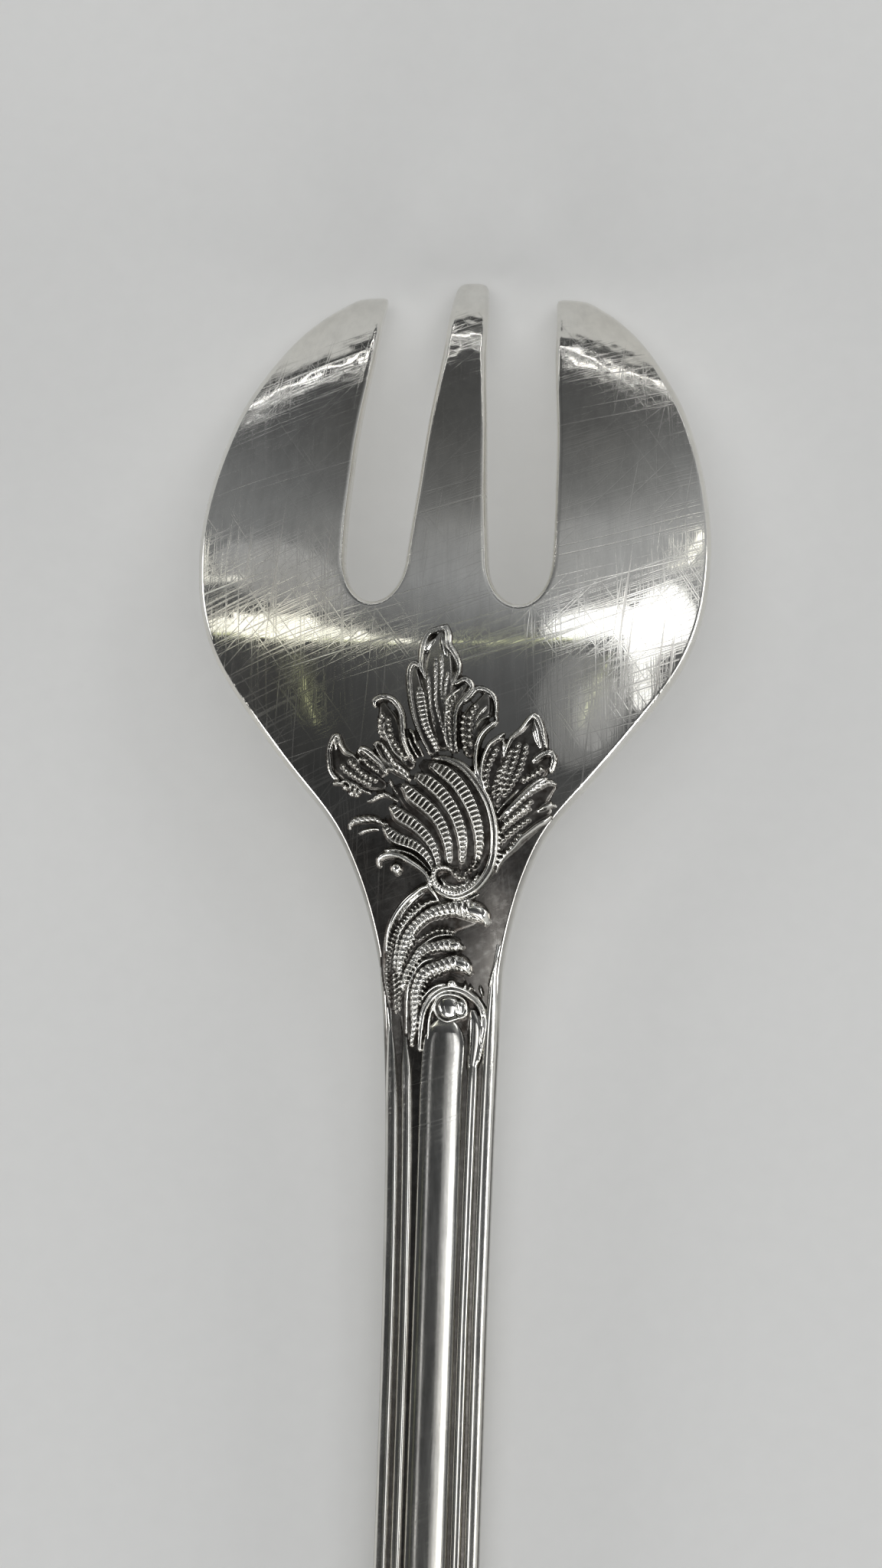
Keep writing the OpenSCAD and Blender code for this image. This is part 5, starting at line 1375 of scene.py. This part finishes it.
def scratch_group(hairlines):
    """Criss-cross scratches of several ages, thickest over the crest of the bowl."""
    group, inlet, outlet = new_group(
        "worn_polish", [("Rarity", "NodeSocketFloat", 0.0), ("Crest", "NodeSocketFloat", 0.057)],
        [("Mask", "NodeSocketFloat"), ("Smudge", "NodeSocketFloat")])
    w = Wiring(group)
    place = w.node("TexCoord").outputs["Object"]
    total = None
    for turn, across, along, rarity, seed, strength in SCRATCHES:
        made = w.tree.nodes.new("ShaderNodeGroup")
        made.node_tree = hairlines
        for key, value in zip(("Turn", "Across", "Along", "Seed"), (turn, across, along, seed)):
            made.inputs[key].default_value = value
        w.feed(made.inputs["Rarity"], w.math("ADD", inlet.outputs["Rarity"], rarity))
        one = w.math("MULTIPLY", made.outputs[0], strength)
        total = one if total is None else w.math("MAXIMUM", total, one)
    wear = w.node("TexNoise", Vector=place, Scale=150.0, Detail=3.0)
    patches = w.span(wear.outputs["Fac"], 0.36, 0.6, 0.5, 1.0)
    along = w.node("SeparateXYZ", Vector=place).outputs[1]
    far = w.math("ABSOLUTE", w.math("SUBTRACT", along, inlet.outputs["Crest"]))
    fewer = w.span(far, 0.005, 0.014, 1.0, 0.45)   # metres from the crest, and shares
    total = w.math("MULTIPLY", total, w.math("MULTIPLY", patches, fewer))
    smudge = w.node("TexNoise", Vector=place, Scale=260.0, Detail=4.0, Roughness=0.6)
    w.feed(outlet.inputs["Mask"], total)
    w.feed(outlet.inputs["Smudge"], w.span(smudge.outputs["Fac"], 0.35, 0.7))
    return group


# Each finish: roughness, what a scratch adds to it, rarity and depth of the scratches, tarnish in
# the hollows with the painted shade round the chased work, old polish on the ground, and strength
# of the streaks
FINISHES = {
    "polished_silver": (0.035, 0.34, -0.005, 0.6, 0, 0.84, 0.18),
    "sunk_ground": (0.035, 0.34, 0.0, 0.3, 0, 0.84, 0.22),
    "chased_relief": (0.09, 0.15, 0.03, 0.2, 0.97, 0, 0.05),
    "thread": (0.1, 0.34, -0.05, 0.35, 0, 0, 0.5),
}
SCRATCH_TONE, STREAK_TONE = (0.62, 0.61, 0.6, 1), (0.36, 0.35, 0.33, 1)
# What smudges and what the tarnish and painted shade in hollows and the old polish on the ground
# add to the roughness
SMUDGE_ROUGHNESS, HOLLOW_ROUGHNESS, GROUND_ROUGHNESS = 0.035, 0.26, 0.14
# The plate is rippled more from the first of these places along Y to the second, in metres
RIPPLE_START, RIPPLE_END, LEAST_RIPPLE, MOST_RIPPLE = 0.067, 0.0715, 2.6, 24.0
BUMP_DEPTH = 0.000004   # metres


def silver_finish(name, colours, worn, scratch_depth):
    """Polished silver plate: scratches, smudges, warm film, and tarnish kept in hollows, which
    round the chased work is partly painted shade.
    """
    rough, scratch_rough, rarity, depth, hollow, ground, stain = FINISHES[name]
    material = bpy.data.materials.new("worn_" + name)
    material.use_nodes = True
    tree = material.node_tree
    w = Wiring(tree)
    shader = tree.nodes["Principled BSDF"]
    shader.inputs["Metallic"].default_value = 1.0
    place = w.node("TexCoord").outputs["Object"]
    polish = tree.nodes.new("ShaderNodeGroup")
    polish.node_tree = worn
    polish.inputs["Rarity"].default_value = rarity
    scratches, smudge = polish.outputs["Mask"], polish.outputs["Smudge"]
    silver, warm, tarnish_and_shade = [(*c, 1.0) for c in colours]
    film = w.node("TexNoise", Vector=place, Scale=75.0, Detail=3.0)
    tone = w.blend(w.span(film.outputs["Fac"], 0.42, 0.75, 0.0, 0.4), silver, warm)
    tone = w.blend(w.span(scratches, 0, 1, 1.0, 0.9), SCRATCH_TONE, tone)
    drawn = w.node("Mapping", Vector=place, Scale=(1.0, 0.16, 1.0)).outputs[0]
    streak = w.node("TexNoise", Vector=drawn, Scale=1500.0, Detail=4.0, Roughness=0.65)
    tone = w.blend(w.span(streak.outputs["Fac"], 0.4, 0.68, 0.0, stain), tone, STREAK_TONE)
    roughness = w.math("ADD", w.span(smudge, 0, 1, rough, rough + SMUDGE_ROUGHNESS),
                       w.math("MULTIPLY", scratches, scratch_rough))
    if hollow or ground:
        speck = w.node("TexNoise", Vector=place, Scale=2600.0, Detail=3.0)
        uneven = w.span(speck.outputs["Fac"], 0.3, 0.7, 0.86, 1.1)
        # Darkening from the attribute: tarnish in hollows and old polish on the ground, and round
        # the chased work partly painted shade
        dirt_and_shade = w.node("Attribute", {"attribute_name": "hollow" if hollow else "ground"})
        dirt_and_shade = w.math("MULTIPLY", dirt_and_shade.outputs["Fac"], uneven, clamp=True)
        dirt_and_shade = w.math("MULTIPLY", dirt_and_shade, hollow or ground)
        tone = w.blend(dirt_and_shade, tone, tarnish_and_shade)
        gain = HOLLOW_ROUGHNESS if hollow else GROUND_ROUGHNESS
        roughness = w.math("ADD", roughness, w.math("MULTIPLY", dirt_and_shade, gain))
    w.feed(shader.inputs["Base Color"], tone)
    w.feed(shader.inputs["Roughness"], roughness)
    ripple = w.node("TexNoise", Vector=place, Scale=420.0, Detail=2.0)
    tip = w.span(w.node("SeparateXYZ", Vector=place).outputs[1], RIPPLE_START, RIPPLE_END,
                 LEAST_RIPPLE, MOST_RIPPLE)
    height = w.math("ADD", w.math("MULTIPLY", scratches, -depth * scratch_depth),
                    w.math("MULTIPLY", ripple.outputs["Fac"], tip))
    bump = w.node("Bump", Strength=1.0, Distance=BUMP_DEPTH, Height=height)
    w.feed(shader.inputs["Normal"], bump.outputs[0])
    return material


def fork_finishes(settings):
    """The four finishes, made the first time that they are asked for."""
    made = {name: bpy.data.materials.get("worn_" + name) for name in FINISHES}
    if all(made.values()):
        return made
    worn = scratch_group(hairline_group())
    colours = (tuple(settings.silver), tuple(settings.warmth), tuple(settings.tarnish_and_shade))
    return {name: silver_finish(name, colours, worn, settings.scratches) for name in FINISHES}


# ---------------------------------------------------------------------------------------------
# Floor, light and camera


FIBRE_SHADE = 0.96   # of the floor's darker flecks


def floor_material(colour):
    """Matt paper with faint flecks."""
    material = bpy.data.materials.new("pale_floor")
    material.use_nodes = True
    w = Wiring(material.node_tree)
    shader = material.node_tree.nodes["Principled BSDF"]
    place = w.node("TexCoord").outputs["Object"]
    fibre = w.node("TexNoise", Vector=place, Scale=900.0, Detail=4.0)
    darker = (*[c * FIBRE_SHADE for c in colour], 1.0)
    w.feed(shader.inputs["Base Color"], w.blend(fibre.outputs["Fac"], darker, (*colour, 1.0)))
    shader.inputs["Roughness"].default_value = 0.9
    shader.inputs["Specular IOR Level"].default_value = 0.2
    bump = w.node("Bump", Strength=0.3, Distance=0.00005, Height=fibre.outputs["Fac"])
    w.feed(shader.inputs["Normal"], bump.outputs[0])
    return material


LAMP_REACH = 12.0    # metres to the lamps in the sky


def sky(across, along):
    """Direction of a place in the sky, given in degrees from straight overhead: across to the
    right and along towards the tines."""
    fall = math.radians(math.hypot(across, along))
    turn = math.atan2(across, along)
    return Vector((math.sin(fall) * math.sin(turn), math.sin(fall) * math.cos(turn),
                   math.cos(fall)))


def lamp_face(name, long, wide, glow, colour, shape):
    """A lamp with a soft face, long by wide metres; glow is how bright it is, 1 is white."""
    data = bpy.data.lights.new(name, "AREA")
    data.shape = shape
    data.size, data.size_y = long, wide
    face = long * wide * (math.pi / 4 if shape == ROUND else 1)
    data.energy, data.color = glow * math.pi * face, colour
    lamp = bpy.data.objects.new(name, data)
    bpy.context.scene.collection.objects.link(lamp)
    lamp.visible_camera = False
    return lamp


def soft_box(name, start, end, spread, glow, colour, shape):
    """A lamp far off, that runs from one place in the sky to another, spread degrees wide."""
    a, b = sky(*start) * LAMP_REACH, sky(*end) * LAMP_REACH
    middle = (a + b) / 2
    back = middle.normalized()
    along = (b - a).normalized()
    long, wide = (b - a).length, 2 * middle.length * math.tan(math.radians(spread / 2))
    lamp = lamp_face(name, long, wide, glow, colour, shape)
    lamp.matrix_world = axes(along, back.cross(along), back, middle)
    return lamp


def axes(right, up, back, place):
    """Place and turn of a lamp or camera that looks against back."""
    turned = Matrix((right, up, back)).transposed().to_4x4()
    turned.translation = place
    return turned


# Grey of the sky: how far towards the tines a direction points, from -1 to 1, and brightness
SKY_GREYS = [(-1, 0.16), (-0.7, 0.08), (-0.5, 0.045), (-0.25, 0.055), (0.05, 0.065),
             (0.34, 0.095), (0.44, 0.16), (0.56, 0.26), (0.7, 0.23), (0.8, 0.13), (0.9, 0.07),
             (1, 0.05)]
SKY_TINT = (0.975, 1, 1.03)
# The sky brightens from the first of these places across to the second, by these factors
SKY_LEFT, SKY_RIGHT, LEFT_SHARE, RIGHT_SHARE = -0.6, 0.6, 0.85, 1.8
BACKDROP = (0.6, 0.6, 0.59, 1)   # what the camera sees of it; only the metal shows the sky
# Lamps: places in the sky where each starts and ends, spread, glow, colour and shape
WHITE, CREAM, YELLOW = (1, 1, 1), (1, 0.985, 0.88), (0.95, 1, 0.55)
BOX, ROUND = "RECTANGLE", "ELLIPSE"
LAMPS = [
    ("right_round", (39, 33), (39, 10), 12, 1.6, WHITE, ROUND),
    ("right_cusp", (16.5, 23.4), (42, 23.2), 8, 1.7, WHITE, ROUND),
    ("right_foot", (36.5, 20), (42.6, -10), 5, 1.3, WHITE, ROUND),
    ("right_rim", (44.5, 28), (46, 12), 2.4, 1.2, WHITE, ROUND),
    ("right_crescent", (43, 48), (42, 36.5), 1.8, 1.6, CREAM, ROUND),
    ("right_crescent_foot", (43, 38), (38, 36), 1.0, 0.9, CREAM, ROUND),
    ("left_wedge_end", (-60, 16.8), (-51, 18.9), 4.4, 1.4, CREAM, BOX),
    ("left_wedge", (-52, 19.2), (-34, 20.6), 6.2, 1.7, CREAM, BOX),
    ("left_wedge_tail", (-35, 20.6), (-23, 20), 3.4, 1.4, CREAM, BOX),
    ("left_line", (-24, 19.9), (-8, 19.2), 1.3, 1.3, CREAM, BOX),
    ("left_line_glow", (-58, 14.4), (-16, 18.8), 0.7, 0.8, YELLOW, BOX),
    ("crest_line", (-8, 19.2), (26, 19.6), 0.8, 0.9, YELLOW, BOX),
    ("left_crescent", (-58, 43), (-57, 30), 2.6, 1.5, CREAM, ROUND),
    ("left_crescent_foot", (-57, 31), (-48, 32), 1.2, 0.8, CREAM, ROUND),
    ("left_smear", (-39, 12), (-39, -14), 1.3, 0.5, YELLOW, ROUND),
    ("right_smear", (32, 14), (30, -14), 1.2, 0.4, YELLOW, ROUND),
    ("left_low_box", (-76, 40), (-76, 6), 16, 2.8, WHITE, ROUND),
    ("right_low_box", (77, 40), (77, -24), 14, 3.2, WHITE, ROUND),
    ("front_box", (-22, -76), (22, -76), 16, 6.0, WHITE, BOX),
    ("front_left_box", (-74, -26), (-48, -60), 12, 8.0, WHITE, ROUND),
    ("front_right_box", (48, -60), (74, -26), 12, 8.0, WHITE, ROUND),
    ("right_haze", (24, 14), (33, -28), 20, 0.13, WHITE, ROUND),
    ("right_haze_middle", (31, 4), (35, -22), 11, 0.14, WHITE, ROUND),
    ("left_haze", (-54, 36), (-26, 29), 12, 0.2, WHITE, ROUND),
    ("horizon_strip", (-50, 69), (50, 69), 1.0, 4.0, WHITE, BOX),
    ("horizon_line", (-50, 66), (50, 66), 0.5, 1.6, WHITE, BOX),
]
# Strips beside the stem: how far to the right each stands in degrees, spread and glow.
# They run along the handle just above it, and only polished metal shows them
STEM_STRIPS = [
    ("stem_box", 27, 17, 2.0), ("stem_box_inner", 14.5, 8, 0.75), ("stem_box_edge", 7, 8, 0.3),
    ("stem_strip", -29, 3.5, 0.8),
]
STRIP_HEIGHT, STRIP_FRONT, STRIP_BACK = 0.018, 0.0282, -0.083
STEM_RISE = 0.0045   # height of the stem, which the angles are measured from
# A wide soft light from overhead that the floor takes, and polished metal doesn't show
FILL_GLOW, FILL_SPREAD = 1.15, 60


def stem_strip(name, across, spread, glow):
    """A lamp beside the stem and along it, which only polished metal shows."""
    near, far = [(STRIP_HEIGHT - STEM_RISE) * math.tan(math.radians(across + k * spread / 2))
                 for k in (-1, 1)]
    back = Vector((math.sin(math.radians(across)), 0, math.cos(math.radians(across))))
    along = Vector((0, 1, 0))
    wide = (far - near) * back.z
    long = STRIP_FRONT - STRIP_BACK
    lamp = lamp_face(name, long, wide, glow, WHITE, BOX)
    middle = Vector(((near + far) / 2, (STRIP_FRONT + STRIP_BACK) / 2, STRIP_HEIGHT))
    lamp.matrix_world = axes(along, back.cross(along), back, middle)
    lamp.visible_diffuse = False


def build_world():
    world = bpy.data.worlds.new("studio")
    bpy.context.scene.world = world
    world.use_nodes = True
    tree = world.node_tree
    w = Wiring(tree)
    place = w.node("TexCoord").outputs["Generated"]
    split = w.node("SeparateXYZ", Vector=place)
    ramp = w.node("ValToRGB", Fac=w.span(split.outputs[1], -1, 1))
    elements = ramp.color_ramp.elements
    while len(elements) < len(SKY_GREYS):
        elements.new(0.5)
    for element, (at, grey) in zip(elements, SKY_GREYS):
        element.position = (at + 1) / 2
        element.color = (*[tint * grey for tint in SKY_TINT], 1)
    lift = w.span(split.outputs[0], SKY_LEFT, SKY_RIGHT, LEFT_SHARE, RIGHT_SHARE)
    tone = w.vector("MULTIPLY", ramp.outputs[0], lift)
    seen = w.node("LightPath").outputs["Is Camera Ray"]
    w.feed(tree.nodes["Background"].inputs["Color"], w.blend(seen, tone, BACKDROP))


CAMERA_TARGET = Vector((-0.27, 48.13, 6.0)) * MM
SENSOR_WIDTH, CLIP_START, CLIP_END = 36.0, 0.005, 20.0


def build_stage(settings):
    scene = bpy.context.scene
    bpy.ops.object.select_all(action="DESELECT")
    bpy.ops.mesh.primitive_plane_add(size=settings.floor_size, location=(0, 0, 0))
    floor = bpy.context.object
    floor.name = "floor"
    floor.data.materials.append(floor_material(tuple(settings.floor_colour)))
    build_world()
    for lamp in LAMPS:
        soft_box(*lamp)
    for strip in STEM_STRIPS:
        stem_strip(*strip)
    fill = soft_box("overhead_fill", (-FILL_SPREAD / 2, 0), (FILL_SPREAD / 2, 0), FILL_SPREAD,
                    FILL_GLOW, WHITE, ROUND)
    fill.visible_glossy = False
    turn, tilt, roll = settings.camera_turn, settings.camera_tilt, settings.camera_roll
    back = Vector((math.sin(turn), -math.sin(tilt) * math.cos(turn),
                   math.cos(tilt) * math.cos(turn))).normalized()
    right = (-back).cross(Vector((0, 1, 0))).normalized()
    up = right.cross(-back)
    r = right * math.cos(roll) + up * math.sin(roll)
    u = up * math.cos(roll) - right * math.sin(roll)
    data = bpy.data.cameras.new("camera")
    data.lens, data.sensor_width, data.sensor_fit = settings.lens, SENSOR_WIDTH, "AUTO"
    data.clip_start, data.clip_end = CLIP_START, CLIP_END
    camera = bpy.data.objects.new("camera", data)
    scene.collection.objects.link(camera)
    camera.matrix_world = axes(r, u, back, CAMERA_TARGET + back * settings.camera_distance)
    scene.camera = camera
    scene.view_settings.view_transform = "Standard"


# ---------------------------------------------------------------------------------------------
# Operators and panel


def run(build, scene):
    """Make pieces with a build function, from the settings in the sidebar."""
    build(Form(scene.fork_shape), fork_finishes(scene.fork_finish))
    return {"FINISHED"}


class FORK_OT_forging(bpy.types.Operator):
    """Make the struck blank: tines, bowl, neck, stem and handle end"""

    bl_idname = "fork.forging"
    bl_label = "Forging"
    bl_options = {"REGISTER", "UNDO"}

    def execute(self, context):
        return run(build_forging, context.scene)


class FORK_OT_threads(bpy.types.Operator):
    """Make the four threads along the edges of the handle"""

    bl_idname = "fork.threads"
    bl_label = "Threads"
    bl_options = {"REGISTER", "UNDO"}

    def execute(self, context):
        return run(build_threads, context.scene)


class FORK_OT_panel(bpy.types.Operator):
    """Make the raised panel in the middle of the handle"""

    bl_idname = "fork.panel"
    bl_label = "Panel"
    bl_options = {"REGISTER", "UNDO"}

    def execute(self, context):
        return run(build_panel, context.scene)


class FORK_OT_ornament(bpy.types.Operator):
    """Make the chased leaves, shell, scroll, pearl, plume and arch on the bowl and neck"""

    bl_idname = "fork.ornament"
    bl_label = "Chased ornament"
    bl_options = {"REGISTER", "UNDO"}

    def execute(self, context):
        return run(build_ornament, context.scene)


class FORK_OT_end_shell(bpy.types.Operator):
    """Make the shell and scrolls on the end of the handle"""

    bl_idname = "fork.end_shell"
    bl_label = "End shell"
    bl_options = {"REGISTER", "UNDO"}

    def execute(self, context):
        return run(build_end_shell, context.scene)


class FORK_OT_stage(bpy.types.Operator):
    """Set the floor, the lamps, the world and the camera"""

    bl_idname = "fork.stage"
    bl_label = "Stage"
    bl_options = {"REGISTER", "UNDO"}

    def execute(self, context):
        build_stage(context.scene.fork_stage)
        return {"FINISHED"}


OPERATORS = (
    FORK_OT_forging, FORK_OT_threads, FORK_OT_panel, FORK_OT_ornament, FORK_OT_end_shell,
    FORK_OT_stage,
)


class FORK_PT_sidebar(bpy.types.Panel):
    """The fork's operators and settings"""

    bl_label = "Oyster fork"
    bl_idname = "FORK_PT_sidebar"
    bl_space_type = "VIEW_3D"
    bl_region_type = "UI"
    bl_category = "Oyster fork"

    def draw(self, context):
        scene = context.scene
        for operator in OPERATORS:
            self.layout.operator(operator.bl_idname)
        for settings in (scene.fork_shape, scene.fork_finish, scene.fork_stage):
            box = self.layout.box()
            for key in settings.__annotations__:
                box.prop(settings, key)


CLASSES = (ForkShape, ForkFinish, ForkStage, *OPERATORS, FORK_PT_sidebar)


def register():
    for kind in CLASSES:
        bpy.utils.register_class(kind)
    bpy.types.Scene.fork_shape = PointerProperty(type=ForkShape)
    bpy.types.Scene.fork_finish = PointerProperty(type=ForkFinish)
    bpy.types.Scene.fork_stage = PointerProperty(type=ForkStage)


def unregister():
    del bpy.types.Scene.fork_stage, bpy.types.Scene.fork_finish, bpy.types.Scene.fork_shape
    for kind in reversed(CLASSES):
        bpy.utils.unregister_class(kind)


def main():
    register()
    bpy.ops.fork.forging()
    bpy.ops.fork.threads()
    bpy.ops.fork.panel()
    bpy.ops.fork.ornament()
    bpy.ops.fork.end_shell()
    bpy.ops.fork.stage()


if __name__ == "__main__":
    main()
